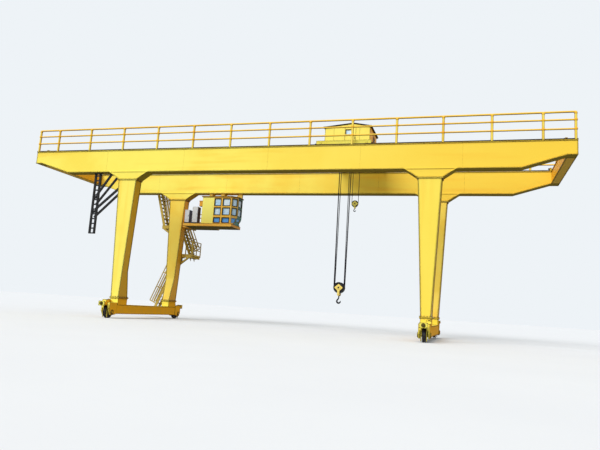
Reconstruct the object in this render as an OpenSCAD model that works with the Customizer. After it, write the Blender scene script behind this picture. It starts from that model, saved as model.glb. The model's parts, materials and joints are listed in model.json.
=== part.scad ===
// Double-girder gantry crane with four tapered box legs, a top-running
// hoist trolley, an operator's cab and a stair behind one leg.
// X runs along the girders, Y across them, Z up. The origin is on the
// ground line, midway between the legs and midway between the girders.

/* [Portal] */
// Distance between leg centres along the girders
span = 18000; // [15000:500:20000]
// Distance between the two girder centres
girder_gauge = 6220; // [5800:20:6600]
// Length of each girder
girder_len = 31940; // [29000:20:35000]
// Depth of a girder between the haunches
girder_d = 1390; // [1100:10:1700]
// Width of a girder's flanges
flange_w = 660; // [620:10:720]
// Width over a girder's web plates
web_w = 590; // [520:10:610]
// Thickness of a girder's flanges
flange_t = 40; // [20:5:60]
// Depth of a girder at its ends
girder_end_d = 760; // [600:10:900]
// Where the soffit starts to rise, from mid-span
taper_start = 13400; // [12000:100:14500]
// Length of the level soffit at each girder end
end_level = 480; // [400:20:700]
// Depth of the haunch that meets each leg
haunch_h = 460; // [300:10:600]
// Half width of a haunch at the soffit
haunch_half = 1300; // [1000:20:1500]

/* [Legs] */
// Height of a leg between its two joint flanges
leg_h = 7150; // [6000:50:8000]
// Width of a leg along the girders at its top
leg_top_x = 1240; // [1000:20:1400]
// Width of a leg along the girders at its foot
leg_foot_x = 540; // [460:20:700]
// Width of a leg across the girders at its top
leg_top_y = 580; // [480:10:600]
// Width of a leg across the girders at its foot
leg_foot_y = 920; // [700:20:1000]
// Height of the flare at a leg's foot, on its inner face
leg_flare_h = 1550; // [1000:50:2400]
// How far a leg's face plates stand past its side plates
leg_lip = 22; // [10:2:40]
// Thickness of the bolted joint flanges
joint_t = 40; // [20:5:60]
// How far the joint flanges stand out
joint_out = 45; // [30:5:80]

/* [Carriages] */
// Width of a carriage beam
carriage_w = 560; // [480:10:640]
// Depth of a carriage beam
carriage_d = 550; // [450:10:650]
// Height of a carriage beam's underside
carriage_z = 250; // [200:10:300]
// Height of the pedestal between carriage and leg
pedestal_h = 400; // [300:10:500]
// Radius of a travel wheel over its flanges
wheel_r = 350; // [300:5:380]
// Height of a travel wheel's flange over its tread
wheel_flange_h = 30; // [20:2:40]
// Width of a travel wheel's tread
tread_w = 110; // [80:5:140]
// Thickness of a travel wheel's flange
wheel_flange_t = 24; // [16:2:30]
// Distance of a travel wheel's axle outside its girder's centre
axle_out = 790; // [740:10:840]
// Radius of a travel wheel's axle
axle_r = 60; // [40:5:80]
// Running gap between an axle and its wheel
axle_gap = 0.1; // [0.05:0.05:0.3]
// Thickness of a wheel fork's cheek plates
cheek_t = 80; // [50:5:100]
// Height of a wheel fork over the carriage beam
fork_rise = 100; // [60:10:140]
// Width of a fork's opening over the wheel
arch_w = 240; // [220:10:260]
// Distance of a buffer's face from the wheel's axle
buffer_out = 800; // [760:10:860]
// Radius of a buffer
buffer_r = 70; // [50:5:90]
// Length of a buffer
buffer_len = 130; // [80:10:160]
// Width of a buffer's face plate
plate_w = 400; // [340:10:460]
// Height of a buffer's face plate
plate_h = 270; // [220:10:320]

/* [Railings] */
// Height of the railing's top rail over the girder
rail_top_h = 1460; // [1100:10:1500]
// Distance between railing posts
post_pitch = 2400; // [1800:50:3000]
// Width of a railing post
post_w = 100; // [60:5:120]
// Width of a rail
rail_w = 80; // [50:5:90]

/* [Trolley] */
// Place of the trolley's middle along the girders
trolley_x = 4250; // [-4000:50:5000]
// Length of the trolley along the girders
trolley_len = 3100; // [3000:20:3600]
// Height of a trolley rail
track_h = 100; // [70:5:140]
// Radius of a trolley wheel's tread
trolley_wheel_r = 115; // [100:5:120]
// Width of the hoist house along the girders
house_w = 2700; // [2400:20:2900]
// Length of the hoist house across the girders
house_len = 2260; // [2160:20:2600]
// Height of the hoist house's walls
house_h = 1375; // [1200:5:1500]
// Rise of the hoist house's roof to its ridge
roof_rise = 190; // [60:10:300]
// Distance of the roof's ridge from the middle of the house
ridge_off = 370; // [0:10:600]
// Thickness of the hoist house's walls
house_wall = 40; // [20:5:60]

/* [Main hoist] */
// Place of the main hoist from the trolley's middle
main_dx = -500; // [-550:10:-450]
// Radius of the main rope's pitch circle
main_pitch_r = 300; // [260:5:310]
// Radius of the main rope
main_rope_r = 12; // [8:1:16]
// Distance between the main sheaves
sheave_gap = 130; // [100:5:160]
// Height of the main block's sheave pin
main_block_z = 2600; // [2400:50:6000]
// Width of the main block's cheek plates
main_cheek_w = 520; // [460:10:560]
// Height of the main sheaves' rope line over the hook's seat
main_rim_drop = 140; // [135:5:200]
// Radius of the main hook's bowl, to the middle of its section
main_bowl_r = 105; // [90:5:115]
// Radius of the main hook's shank
main_shank_r = 34; // [30:1:38]

/* [Auxiliary hoist] */
// Place of the auxiliary hoist from the trolley's middle
aux_dx = 180; // [160:10:260]
// Radius of the auxiliary rope's pitch circle
aux_pitch_r = 190; // [150:5:195]
// Radius of the auxiliary rope
aux_rope_r = 8; // [6:1:10]
// Height of the auxiliary block's sheave pin
aux_block_z = 7600; // [6000:50:7700]
// Width of the auxiliary block's cheek plates
aux_cheek_w = 410; // [360:10:420]
// Height of the auxiliary sheave's rope line over the hook's seat
aux_rim_drop = 80; // [80:5:120]
// Radius of the auxiliary hook's bowl, to the middle of its section
aux_bowl_r = 56; // [48:2:62]
// Radius of the auxiliary hook's shank
aux_shank_r = 18; // [16:1:20]

/* [Collector frame] */
// Distance of the collector frame from the left leg's centre
collector_reach = 2340; // [2200:10:2600]
// Width of the collector frame
collector_w = 330; // [280:10:420]
// Length of the collector frame below the girder
collector_len = 3810; // [3300:10:4000]
// Width of the collector frame's uprights
collector_bar = 110; // [70:5:120]
// Distance between the collector frame's rungs
rung_pitch = 300; // [240:10:360]

/* [Cab] */
// Height of the girder's underside over the cab platform
cab_hang = 2230; // [2100:10:2400]
// Depth of the cab platform's beams
platform_d = 200; // [150:10:250]
// Height of the cab's walls over the platform
cab_h = 1840; // [1700:20:1860]
// Distance of the cab's rear wall from the left leg's centre
cab_reach = 2350; // [2320:10:2450]
// Length of the cab
cab_len = 2500; // [2400:10:2600]
// Near face of the cab, from the middle of the crane
cab_y = 2100; // [2000:10:2300]
// Depth of the cab across the girders
cab_depth = 1450; // [1400:10:1600]
// Thickness of the cab's framing
cab_t = 60; // [40:5:80]
// Width of the cab's solid rear panel
rear_panel_w = 850; // [700:10:880]
// How far the cab's front corners are cut back
cab_corner = 350; // [300:10:400]
// Width of the front pane
front_pane_w = 560; // [450:10:600]
// Width of each corner pane
corner_pane_w = 330; // [250:10:340]

/* [Stairs] */
// Width of a stair flight over its sides
stair_w = 600; // [560:10:620]
// Thickness of a stair's side strings
string_t = 50; // [30:5:60]
// Height of the cab platform over the middle landing
landing_drop = 2030; // [1900:10:2100]
// Distance of a stair's handrail from its string
hand_out = 520; // [400:10:600]
// Thickness of a stair's handrails and posts
hand_t = 54; // [30:2:60]
// Depth of a stair's side strings
string_depth = 180; // [120:10:200]
// Height of the railings round the landings
guard_h = 950; // [800:10:1100]
// Gap between a leg's back face and the stair
stair_gap = 175; // [120:5:260]

/* [Hidden] */
$fn = 48;

yellow = "#f4cd2a";
deep_yellow = "#d9a516";
black = "#1c1d20";
seat_gap = 0.3;

carriage_top = carriage_z + carriage_d;
foot_z = carriage_top + pedestal_h;
leg_top_z = foot_z + leg_h;
soffit_z = leg_top_z + haunch_h;
platform_z = soffit_z - cab_hang;
landing_z = platform_z - landing_drop;
top_z = soffit_z + girder_d;
end_z = top_z - girder_end_d;
leg_x = span / 2;
girder_y = girder_gauge / 2;
half_len = girder_len / 2;
taper_end = half_len - end_level;
// Left end of the cab's platform
platform_x0 = -leg_x + 1000;

// Extrudes a drawing in X and Z along Y, from y0 over a thickness t
module side_plate(y0, t)
    translate([0, y0 + t, 0]) rotate([90, 0, 0]) linear_extrude(t) children();

// Extrudes a drawing in Y and Z along X, from x0 over a thickness t
module end_plate(x0, t)
    translate([x0, 0, 0]) rotate([90, 0, 90]) linear_extrude(t) children();

// A straight bar of width w between two points of a drawing
module bar(p, q, w) {
    run = q - p;
    side = [-run[1], run[0]] / norm(run) * w / 2;
    polygon([p + side, p - side, q - side, q + side]);
}

function reversed(list) = [for (i = [len(list) - 1:-1:0]) list[i]];

// The girder's underside, from its left end to its right end
soffit_half = [[half_len, end_z], [taper_end, end_z], [taper_start, soffit_z]];
soffit_line = concat([for (p = soffit_half) [-p[0], p[1]]], reversed(soffit_half));

// A haunch seen from the side, from the leg's head up to the girder
module haunch_outline() polygon([[-leg_top_x / 2, leg_top_z], [leg_top_x / 2, leg_top_z],
    [haunch_half, soffit_z - seat_gap], [-haunch_half, soffit_z - seat_gap]]);

module haunch(x, y) translate([x, y, 0]) {
    side_plate(-web_w / 2, web_w) haunch_outline();
    side_plate(-flange_w / 2, flange_w) {
        difference() {
            haunch_outline();
            translate([0, flange_t]) haunch_outline();
        }
        translate([-leg_top_x / 2 - joint_out, leg_top_z])
            square([leg_top_x + 2 * joint_out, joint_t]);
    }
}

module girder(y) {
    side_plate(y - web_w / 2, web_w)
        polygon(concat(soffit_line, [[half_len, top_z], [-half_len, top_z]]));
    side_plate(y - flange_w / 2, flange_w) {
        polygon(concat(soffit_line, reversed([for (p = soffit_line) p + [0, flange_t]])));
        translate([-half_len, top_z - flange_t]) square([girder_len, flange_t]);
    }
    for (x = [-leg_x, leg_x]) haunch(x, y);
}

module near_girder() color(yellow) girder(-girder_y);
module far_girder() color(deep_yellow) girder(girder_y);

module end_beam(side) {
    inner = 2 * (girder_y - flange_w / 2);
    x0 = side > 0 ? taper_end : -half_len;
    web_in = (flange_w - web_w) / 2;
    translate([x0, -inner / 2, end_z]) cube([end_level, inner, flange_t]);
    translate([x0, -inner / 2, top_z - flange_t]) cube([end_level, inner, flange_t]);
    translate([x0 + web_in, -inner / 2, end_z])
        cube([end_level - 2 * web_in, inner, girder_end_d]);
}

module left_end_beam() color(yellow) end_beam(-1);
module right_end_beam() color(yellow) end_beam(1);

// Outer face of the legs, level with the girder's outer web plate
leg_outer = girder_y + web_w / 2;

// Half width of a leg along the girders at height z
function leg_half(z) = (leg_foot_x + (leg_top_x - leg_foot_x) * (z - foot_z) / leg_h) / 2;

module leg_front(inset)
    polygon([[-leg_foot_x / 2 + inset, foot_z], [leg_foot_x / 2 - inset, foot_z],
        [leg_top_x / 2 - inset, leg_top_z], [-leg_top_x / 2 + inset, leg_top_z]]);

// The inner face is upright above the flare and slopes in towards the foot
module leg_side(inset)
    polygon([[leg_outer - inset, foot_z], [leg_outer - inset, leg_top_z],
        [leg_outer - leg_top_y + inset, leg_top_z],
        [leg_outer - leg_top_y + inset, foot_z + leg_flare_h],
        [leg_outer - leg_foot_y + inset, foot_z]]);

module leg(side_x, side_y)
    translate([side_x * leg_x, 0, 0]) mirror([0, side_y < 0 ? 1 : 0, 0]) {
        // box with its side plates set back
        intersection() {
            side_plate(0, 2 * leg_outer) leg_front(leg_lip);
            end_plate(-leg_top_x, 2 * leg_top_x) leg_side(0);
        }
        // near and far face plates, full width
        intersection() {
            side_plate(0, 2 * leg_outer) leg_front(0);
            end_plate(-leg_top_x, 2 * leg_top_x) difference() {
                leg_side(0);
                leg_side(leg_lip);
            }
        }
        // joint flanges at head and foot
        translate([-leg_top_x / 2 - joint_out, girder_y - flange_w / 2, leg_top_z - joint_t])
            cube([leg_top_x + 2 * joint_out, flange_w, joint_t]);
        foot_flange(foot_z);
    }

module foot_flange(z)
    translate([-leg_foot_x / 2 - joint_out, leg_outer - leg_foot_y - joint_out, z])
        cube([leg_foot_x + 2 * joint_out, leg_foot_y + 2 * joint_out, joint_t]);

module near_left_leg() color(yellow) leg(-1, -1);
module near_right_leg() color(yellow) leg(1, -1);
module far_left_leg() color(deep_yellow) leg(-1, 1);
module far_right_leg() color(deep_yellow) leg(1, 1);

// Wheel fork, from the beam's end to the buffer's face plate
axle_y = girder_y + axle_out;
buffer_y = axle_y + buffer_out;
fork_start = axle_y - wheel_r - 80;
fork_end = axle_y + 260;
fork_top = carriage_top + fork_rise;
fork_inner = carriage_w / 2 - cheek_t;
fork_plate_t = 30;
// Underside of the cover plate over the wheel, and lower edge of the end plate
fork_cover_z = 2 * wheel_r + 60;
fork_end_z = wheel_r + 220;
boss_out = 35;
bracket_w = 200;
bracket_end = buffer_y - buffer_len;
plate_t = 36;
plate_z = carriage_top + 30;
sweep_x = arch_w / 2 - 10;
sweep_w = 50;

module fork(side) {
    for (x = [-carriage_w / 2, fork_inner]) end_plate(x, cheek_t)
        polygon([[side * fork_start, carriage_z], [side * (axle_y - 120), carriage_z - 70],
            [side * (axle_y + 120), carriage_z - 70], [side * fork_end, carriage_z + 160],
            [side * fork_end, fork_top], [side * fork_start, fork_top]]);
    // cover plate over the wheel and diaphragm behind it
    end_plate(-carriage_w / 2, carriage_w)
        polygon([[side * (fork_start - 20), carriage_z], [side * fork_start, carriage_z],
            [side * fork_start, fork_cover_z], [side * fork_end, fork_cover_z],
            [side * fork_end, fork_top], [side * (fork_start - 20), fork_top]]);
    // end plate with an arch over the wheel
    side_plate(side > 0 ? fork_end - fork_plate_t : -fork_end, fork_plate_t) difference() {
        translate([-carriage_w / 2, fork_end_z]) square([carriage_w, fork_top - fork_end_z]);
        translate([0, fork_cover_z - arch_w / 2]) circle(r = arch_w / 2);
        translate([-arch_w / 2, fork_end_z - 1])
            square([arch_w, fork_cover_z - arch_w / 2 - fork_end_z + 1]);
    }
    // axle with its bearing bosses
    translate([-carriage_w / 2 + cheek_t / 2, side * axle_y, wheel_r]) rotate([0, 90, 0])
        cylinder(r = axle_r, h = carriage_w - cheek_t);
    for (x = [-carriage_w / 2 - boss_out, carriage_w / 2]) translate([x, side * axle_y, wheel_r])
        rotate([0, 90, 0]) cylinder(r = axle_r + 75, h = boss_out);
    // bracket and face plate of the buffer
    side_plate(side > 0 ? fork_end - 1 : -bracket_end, bracket_end - fork_end + 1)
        translate([-bracket_w / 2, plate_z - plate_h / 2 + 40]) square([bracket_w, plate_h - 80]);
    side_plate(side > 0 ? bracket_end - plate_t : -bracket_end, plate_t)
        translate([-plate_w / 2, plate_z - plate_h / 2]) square([plate_w, plate_h]);
    // rail sweeps in front of the wheel
    for (x = [-sweep_x - sweep_w, sweep_x])
        translate([x, side > 0 ? fork_end - fork_plate_t : -fork_end, 60])
            cube([sweep_w, fork_plate_t, fork_end_z - 59]);
}

module carriage(side_x) translate([side_x * leg_x, 0, 0]) {
    translate([-carriage_w / 2 + 20, -fork_start, carriage_z])
        cube([carriage_w - 40, 2 * fork_start, carriage_d]);
    for (z = [carriage_z, carriage_top - 30]) translate([-carriage_w / 2, -fork_start, z])
        cube([carriage_w, 2 * fork_start, 30]);
    for (side = [-1, 1]) {
        fork(side);
        mirror([0, side < 0 ? 1 : 0, 0]) {
            translate([-leg_foot_x / 2, leg_outer - leg_foot_y, carriage_top])
                cube([leg_foot_x, leg_foot_y, pedestal_h - joint_t]);
            foot_flange(foot_z - joint_t);
        }
    }
    if (side_x < 0) stair_outrigger();
}

module left_carriage() color(deep_yellow) carriage(-1);
module right_carriage() color(deep_yellow) carriage(1);

module travel_buffers() color("#4a4420")
    for (sx = [-1, 1], sy = [-1, 1]) translate([sx * leg_x, sy * (bracket_end + seat_gap), plate_z])
        rotate([-sy * 90, 0, 0]) {
            cylinder(r = buffer_r + 20, h = 20);
            cylinder(r = buffer_r, h = buffer_len - 25);
            cylinder(r = buffer_r - 12, h = buffer_len - seat_gap);
        }

// Flat gear case on each wheel fork, with its motor behind it
drive_w = 280;
drive_len = 300;
drive_h = 150;
drive_x = 60;
motor_r = 82;
motor_len = 260;
module travel_drives() color(yellow)
    for (sx = [-1, 1], sy = [-1, 1]) translate([sx * leg_x, 0, 0])
        mirror([sx < 0 ? 1 : 0, 0, 0]) mirror([0, sy < 0 ? 1 : 0, 0]) {
            side_plate(axle_y - drive_len / 2, drive_len) translate([drive_x, fork_top])
                polygon([[0, 0], [drive_w, 0], [drive_w, drive_h - 40], [drive_w - 40, drive_h],
                    [40, drive_h], [0, drive_h - 40]]);
            translate([drive_x + drive_w / 2, axle_y - drive_len / 2 + 1, fork_top + motor_r + 1])
                rotate([90, 0, 0]) {
                    cylinder(r = motor_r, h = motor_len - 50);
                    cylinder(r = motor_r - 14, h = motor_len);
                }
        }

module travel_wheel(side_x, side_y)
    translate([side_x * leg_x, side_y * axle_y, wheel_r]) rotate([0, 90, 0])
        rotate_extrude() {
            rim_r = wheel_r - wheel_flange_h;
            half = tread_w / 2;
            // hub, web and rim in one section, turned about the axle
            translate([axle_r + axle_gap, -half - 40]) square([50, tread_w + 80]);
            translate([axle_r + axle_gap, -25]) square([rim_r - axle_r - 40, 50]);
            translate([rim_r - 60, -half]) square([60, tread_w]);
            for (y = [-half - wheel_flange_t, half])
                translate([rim_r - 60, y]) square([60 + wheel_flange_h, wheel_flange_t]);
        }

module near_left_wheel() color(black) travel_wheel(-1, -1);
module near_right_wheel() color(black) travel_wheel(1, -1);
module far_left_wheel() color(black) travel_wheel(-1, 1);
module far_right_wheel() color(black) travel_wheel(1, 1);

// Railing along a girder's outer edge, with a clamp where each rail meets a post
post_count = floor((half_len - 600) / post_pitch);
rail_heights = [0.37 * rail_top_h, 0.69 * rail_top_h];
clamp_w = 160;
clamp_h = 120;
rail_posts = concat([-half_len + post_w / 2], [for (i = [-post_count:post_count]) i * post_pitch],
    [half_len - post_w / 2]);
module railing(side) {
    y = side * (girder_y + flange_w / 2 - post_w / 2) - post_w / 2;
    side_plate(y, post_w) difference() {
        for (x = rail_posts) {
            translate([x - post_w / 2, top_z]) square([post_w, rail_top_h]);
            for (h = rail_heights) translate([max(-half_len, min(half_len - clamp_w, x - clamp_w / 2)),
                top_z + h - clamp_h / 2]) square([clamp_w, clamp_h]);
        }
        railing_gate(side);
    }
    side_plate(y + (post_w - rail_w) / 2, rail_w) difference() {
        for (h = concat(rail_heights, [rail_top_h - rail_w / 2]))
            translate([-half_len, top_z + h - rail_w / 2]) square([girder_len, rail_w]);
        railing_gate(side);
    }
    if (side > 0) for (x = [head_x0 - post_w, head_x1])
        translate([x, y, top_z]) cube([post_w, post_w, rail_top_h]);
}

// The way through the far railing at the stair's head
module railing_gate(side)
    if (side > 0) translate([head_x0, top_z - 1]) square([head_x1 - head_x0, rail_top_h + 2]);

module near_railing() color(yellow) railing(-1);
module far_railing() color(yellow) railing(1);

// Trolley rails over the inner webs, with end stops
track_y = girder_y - 150;
track_w = 70;
track_half = half_len - end_level - 60;
stop_t = 120;
stop_w = 200;
stop_h = 220;
module trolley_tracks() color("#6b5a3a")
    for (side = [-1, 1]) {
        translate([-track_half, side * track_y - track_w / 2, top_z])
            cube([2 * track_half, track_w, track_h]);
        for (x = [-track_half - seat_gap - stop_t, track_half + seat_gap])
            translate([x, side * track_y - stop_w / 2, top_z]) cube([stop_t, stop_w, stop_h]);
    }

// Black collector frame under the near girder, left of the near left leg
collector_x = -leg_x - collector_reach;
collector_low = soffit_z - collector_len;
rung_w = 70;
cross_w = 50;
// Each brace: its start below the girder, its width, and its end as a
// distance from the leg's centre and a height over the leg's head
collector_braces = [[1390, 110, haunch_half - 20, haunch_h + 60],
    [2000, 100, 700, haunch_h + 10], [2300, 120, 300, -130], [2780, 110, 300, -490]];
module collector_frame() color(black)
    side_plate(-girder_y - collector_bar / 2, collector_bar) difference() {
        union() {
            for (x = [-1, 1]) translate([collector_x + x * collector_w / 2 - collector_bar / 2,
                collector_low]) square([collector_bar, soffit_z - collector_low]);
            for (z = [collector_low:rung_pitch:soffit_z])
                translate([collector_x - collector_w / 2, z]) square([collector_w, rung_w]);
            for (i = [4, 7], s = [-1, 1])
                bar([collector_x - s * collector_w / 2, collector_low + i * rung_pitch + rung_w / 2],
                    [collector_x + s * collector_w / 2,
                    collector_low + (i + 1) * rung_pitch + rung_w / 2], cross_w);
            translate([collector_x - collector_w / 2 - 110, soffit_z - 40])
                square([collector_w + 220, 40]);
            for (b = collector_braces)
                bar([collector_x + collector_w / 2 - collector_bar, soffit_z - b[0]],
                    [-leg_x - b[2], leg_top_z + b[3]], b[1]);
        }
        // the leg, its joint flanges, the haunch and the girder stand clear
        translate([-leg_x, 0]) leg_front(leg_lip - seat_gap);
        translate([-leg_x - leg_top_x / 2 - joint_out - seat_gap, leg_top_z - joint_t - seat_gap])
            square([leg_top_x, 2 * joint_t + 2 * seat_gap]);
        translate([-leg_x, 0]) polygon([[0, leg_top_z], [0, soffit_z], [-haunch_half - 1, soffit_z],
            [-leg_top_x / 2 - 1, leg_top_z]]);
        translate([-half_len, soffit_z - seat_gap]) square([half_len, girder_d]);
    }

// Stair lanes behind the far left leg
lane1 = leg_outer + stair_gap;
lane2 = lane1 + stair_w + 60;
lane_end = lane2 + stair_w;
walk_y1 = lane2 - 40;
stair_foot = [-leg_x - 1690, 350];
mid_x0 = -leg_x + 90;
mid_x1 = -leg_x + 1150;
high_x0 = -leg_x - 1370;
high_x1 = -leg_x - 250;
head_x0 = -leg_x - 3100;
head_x1 = -leg_x - 2350;

// One steep flight from p up to q: two side strings with handrails square
// to them, each string cut level at its foot where it stands on a deck. The
// rails start and end clear of the landings, at these shares of the flight.
rails_from = 0.15;
rails_to = 0.88;
module stair_sides(p, q, y0, posts, level_foot) {
    run = q - p;
    down = [0, -string_depth * norm(run) / abs(run[0])];
    out = [-run[1], run[0]] / norm(run) * (run[0] > 0 ? 1 : -1);
    low = p + run * rails_from;
    high = p + run * rails_to;
    for (y = [y0, y0 + stair_w - string_t]) side_plate(y, string_t) difference() {
        union() {
            polygon([p, q, q + down, p + down]);
            for (k = [1:3]) bar(low + out * hand_out * k / 3, high + out * hand_out * k / 3, hand_t);
            for (i = [0:posts - 1]) let (at = low + (high - low) * i / (posts - 1))
                bar(at - out * string_depth / 2, at + out * hand_out, hand_t);
        }
        if (level_foot) translate(p + [-1000, -1000]) square([2000, 1000]);
    }
}

module flight_treads(p, q, y0, count) {
    step = (q - p) / count;
    depth = 240;
    for (i = [1:count - 1]) {
        at = p + step * i;
        translate([at[0] - depth / 2, y0 + string_t, at[1] - 90])
            cube([depth, stair_w - 2 * string_t, 45]);
    }
}

low_p = stair_foot;
low_q = [mid_x0, landing_z];
mid_p = [-leg_x + 700, landing_z];
mid_q = [high_x1, platform_z];
up_p = [-leg_x - 1250, platform_z];
up_q = [head_x1, top_z];

module lower_stair_sides() color(deep_yellow) stair_sides(low_p, low_q, lane1, 4, true);
module middle_stair_sides() color(deep_yellow) stair_sides(mid_p, mid_q, lane2, 3, false);
module upper_stair_sides() color(deep_yellow) stair_sides(up_p, up_q, lane1, 3, true);
module stair_treads() color("#8a7a3c") {
    flight_treads(low_p, low_q, lane1, 18);
    flight_treads(mid_p, mid_q, lane2, 9);
    flight_treads(up_p, up_q, lane1, 13);
}

deck_t = 120;
// A landing's deck plate with an edge that stands down round it
module landing(x0, x1, y0, y1, z) difference() {
    translate([x0, y0, z - deck_t]) cube([x1 - x0, y1 - y0, deck_t]);
    translate([x0 + 40, y0 + 40, z - deck_t - 1])
        cube([x1 - x0 - 80, y1 - y0 - 80, deck_t - 29]);
}

// A beam across the far left leg's back face, with arms out under a landing
arm_w = 80;
arm_d = 130;
beam_y = lane1 - seat_gap;
module landing_beam(x0, x1, z, arms) {
    low = z - deck_t - arm_d;
    translate([x0, leg_outer + seat_gap, low]) cube([x1 - x0, beam_y - leg_outer - seat_gap, z - low]);
    for (arm = arms) translate([arm[0] - arm_w / 2, beam_y - 1, low])
        cube([arm_w, arm[1] - beam_y + 1, arm_d + 1]);
}

// A knee brace on the leg's back face, from the leg up to a landing's beam
module knee(foot, head) side_plate(leg_outer + seat_gap, arm_w) bar(foot, head, arm_d);

// One flat side of a railing on a deck at height z, from p to q in plan
module guard(p, q, z) {
    run = q - p;
    along = run[0] != 0;
    count = ceil(norm(run) / 1100);
    size = along ? [norm(run), hand_t] : [hand_t, norm(run)];
    for (h = [guard_h / 3, guard_h * 2 / 3, guard_h - hand_t])
        translate([p[0], p[1], z + seat_gap + h]) cube([size[0], size[1], hand_t]);
    for (i = [0:count]) translate([p[0], p[1], z + seat_gap]
        + (along ? [i * (size[0] - hand_t) / count, 0, 0] : [0, i * (size[1] - hand_t) / count, 0]))
            cube([hand_t, hand_t, guard_h]);
}

walk_x1 = platform_x0 - seat_gap;
module stair_landings() color(deep_yellow) {
    // middle landing, with the lower flight coming in and the next going out
    landing(mid_x0 + seat_gap, mid_x1, lane1, walk_y1, landing_z);
    landing(mid_p[0] + seat_gap, mid_x1, walk_y1 - 40, lane_end, landing_z);
    landing_beam(mid_x0 - 350, mid_x1, landing_z,
        [[mid_x0 + 100, walk_y1], [mid_p[0] + 100, lane_end], [mid_x1 - 100, lane_end]]);
    knee([-leg_x + 150, landing_z - 850], [mid_x1 - 200, landing_z - deck_t - arm_d + 20]);
    // high landing and the walk behind the leg to the cab's platform
    landing(high_x0, high_x1 - seat_gap, lane1, lane_end, platform_z);
    landing(high_x1 - 40, walk_x1, lane1, walk_y1, platform_z);
    landing_beam(high_x0, walk_x1, platform_z,
        [[high_x0 + 100, lane_end], [high_x1 - 100, lane_end],
        [-leg_x + 350, walk_y1], [walk_x1 - 100, walk_y1]]);
    knee([-leg_x - 350, platform_z - 800], [high_x0 + 120, platform_z - deck_t - arm_d + 20]);
    // head landing at the far girder's top
    landing(head_x0, head_x1, girder_y + flange_w / 2 + seat_gap, walk_y1, top_z);
    // railings round the landings
    guard([-leg_x + 560, lane1], [mid_x1 - hand_t - seat_gap, lane1], landing_z);
    guard([mid_x1 - hand_t, lane1], [mid_x1 - hand_t, lane_end], landing_z);
    guard([high_x0, lane2], [high_x0, lane_end], platform_z);
    guard([high_x0 + hand_t + seat_gap, lane_end - hand_t], [high_x1 - 20, lane_end - hand_t],
        platform_z);
    guard([high_x1 + hand_out, walk_y1 - hand_t], [walk_x1, walk_y1 - hand_t], platform_z);
    guard([head_x0, girder_y + flange_w / 2 + 20], [head_x0, walk_y1], top_z);
    guard([head_x0 + hand_t + seat_gap, walk_y1 - hand_t], [head_x1, walk_y1 - hand_t], top_z);
}

// Outrigger that carries the stair's foot, on the left carriage
module stair_outrigger() {
    reach = leg_x + stair_foot[0];
    translate([reach - 200, fork_start - 250, stair_foot[1] - 120 - seat_gap])
        cube([-reach + 200 - carriage_w / 2 + 20, 160, 120]);
    translate([reach - 200, fork_start - 250, stair_foot[1] - 40 - seat_gap])
        cube([500, lane1 + stair_w - fork_start + 250, 40]);
}

// Cab outline in plan, with its front corners cut back
cab_rear = -leg_x + cab_reach;
cab_front = cab_rear + cab_len;
cab_top = platform_z + cab_h;
cab_back = cab_y + cab_depth;
function cab_plan(inset) = [[cab_rear + inset, cab_y + inset],
    [cab_front - cab_corner - inset / 2, cab_y + inset], [cab_front - inset, cab_y + cab_corner],
    [cab_front - inset, cab_back - cab_corner], [cab_front - cab_corner - inset / 2,
    cab_back - inset], [cab_rear + inset, cab_back - inset]];
// Side panes: their places along the cab and widths, then heights over the
// platform and depths, which the corner and front panes share
pane_x = [cab_rear + rear_panel_w + 70, cab_rear + rear_panel_w + 690];
pane_w = [450, 510];
pane_z = [80, 610, 1240];
pane_h = [330, 480, 480];

// The cab's outer form: the plan, with its lower front raked in
cab_rake_x = 200;
cab_rake_z = 490;
module cab_form(inset) intersection() {
    translate([0, 0, platform_z]) linear_extrude(cab_h) polygon(cab_plan(inset));
    side_plate(cab_y, cab_depth) polygon([[cab_rear, platform_z],
        [cab_front - cab_rake_x - inset, platform_z],
        [cab_front - inset, platform_z + cab_rake_z], [cab_front - inset, cab_top],
        [cab_rear, cab_top]]);
}

// Upright joints where the cab's wall panels meet
module cab_joints() translate([0, 0, platform_z - 1]) linear_extrude(cab_h + 2)
    for (i = [0:5]) bar(cab_plan(-20)[i], cab_plan(2 * cab_t + cab_rake_x)[i], seat_gap);

module cab_frame() color(deep_yellow) difference() {
    cab_form(0);
    cab_form(cab_t);
    cab_joints();
    for (j = [0:2]) {
        for (i = [0:1]) translate([pane_x[i], cab_y - 50, platform_z + pane_z[j]])
            cube([pane_w[i], cab_depth + 100, pane_h[j]]);
        translate([cab_front - 150, (cab_y + cab_back - front_pane_w) / 2, platform_z + pane_z[j]])
            cube([300, front_pane_w, pane_h[j]]);
        for (side = [-1, 1]) translate([cab_front - cab_corner / 2,
            (cab_y + cab_back) / 2 + side * (cab_depth - cab_corner) / 2, platform_z + pane_z[j]])
            rotate([0, 0, side * 45]) translate([-150, -corner_pane_w / 2, 0])
                cube([300, corner_pane_w, pane_h[j]]);
    }
}

glass_t = 12;
module cab_glass() color("#a9c9d8") difference() {
    cab_form(cab_t + seat_gap);
    cab_form(cab_t + glass_t);
    cab_joints();
    translate([cab_rear, cab_y, platform_z]) cube([rear_panel_w, cab_depth, cab_h]);
    for (z = [platform_z - 1, cab_top - 40]) translate([cab_rear, cab_y, z])
        cube([cab_front - cab_rear, cab_depth, 41]);
}

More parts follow.
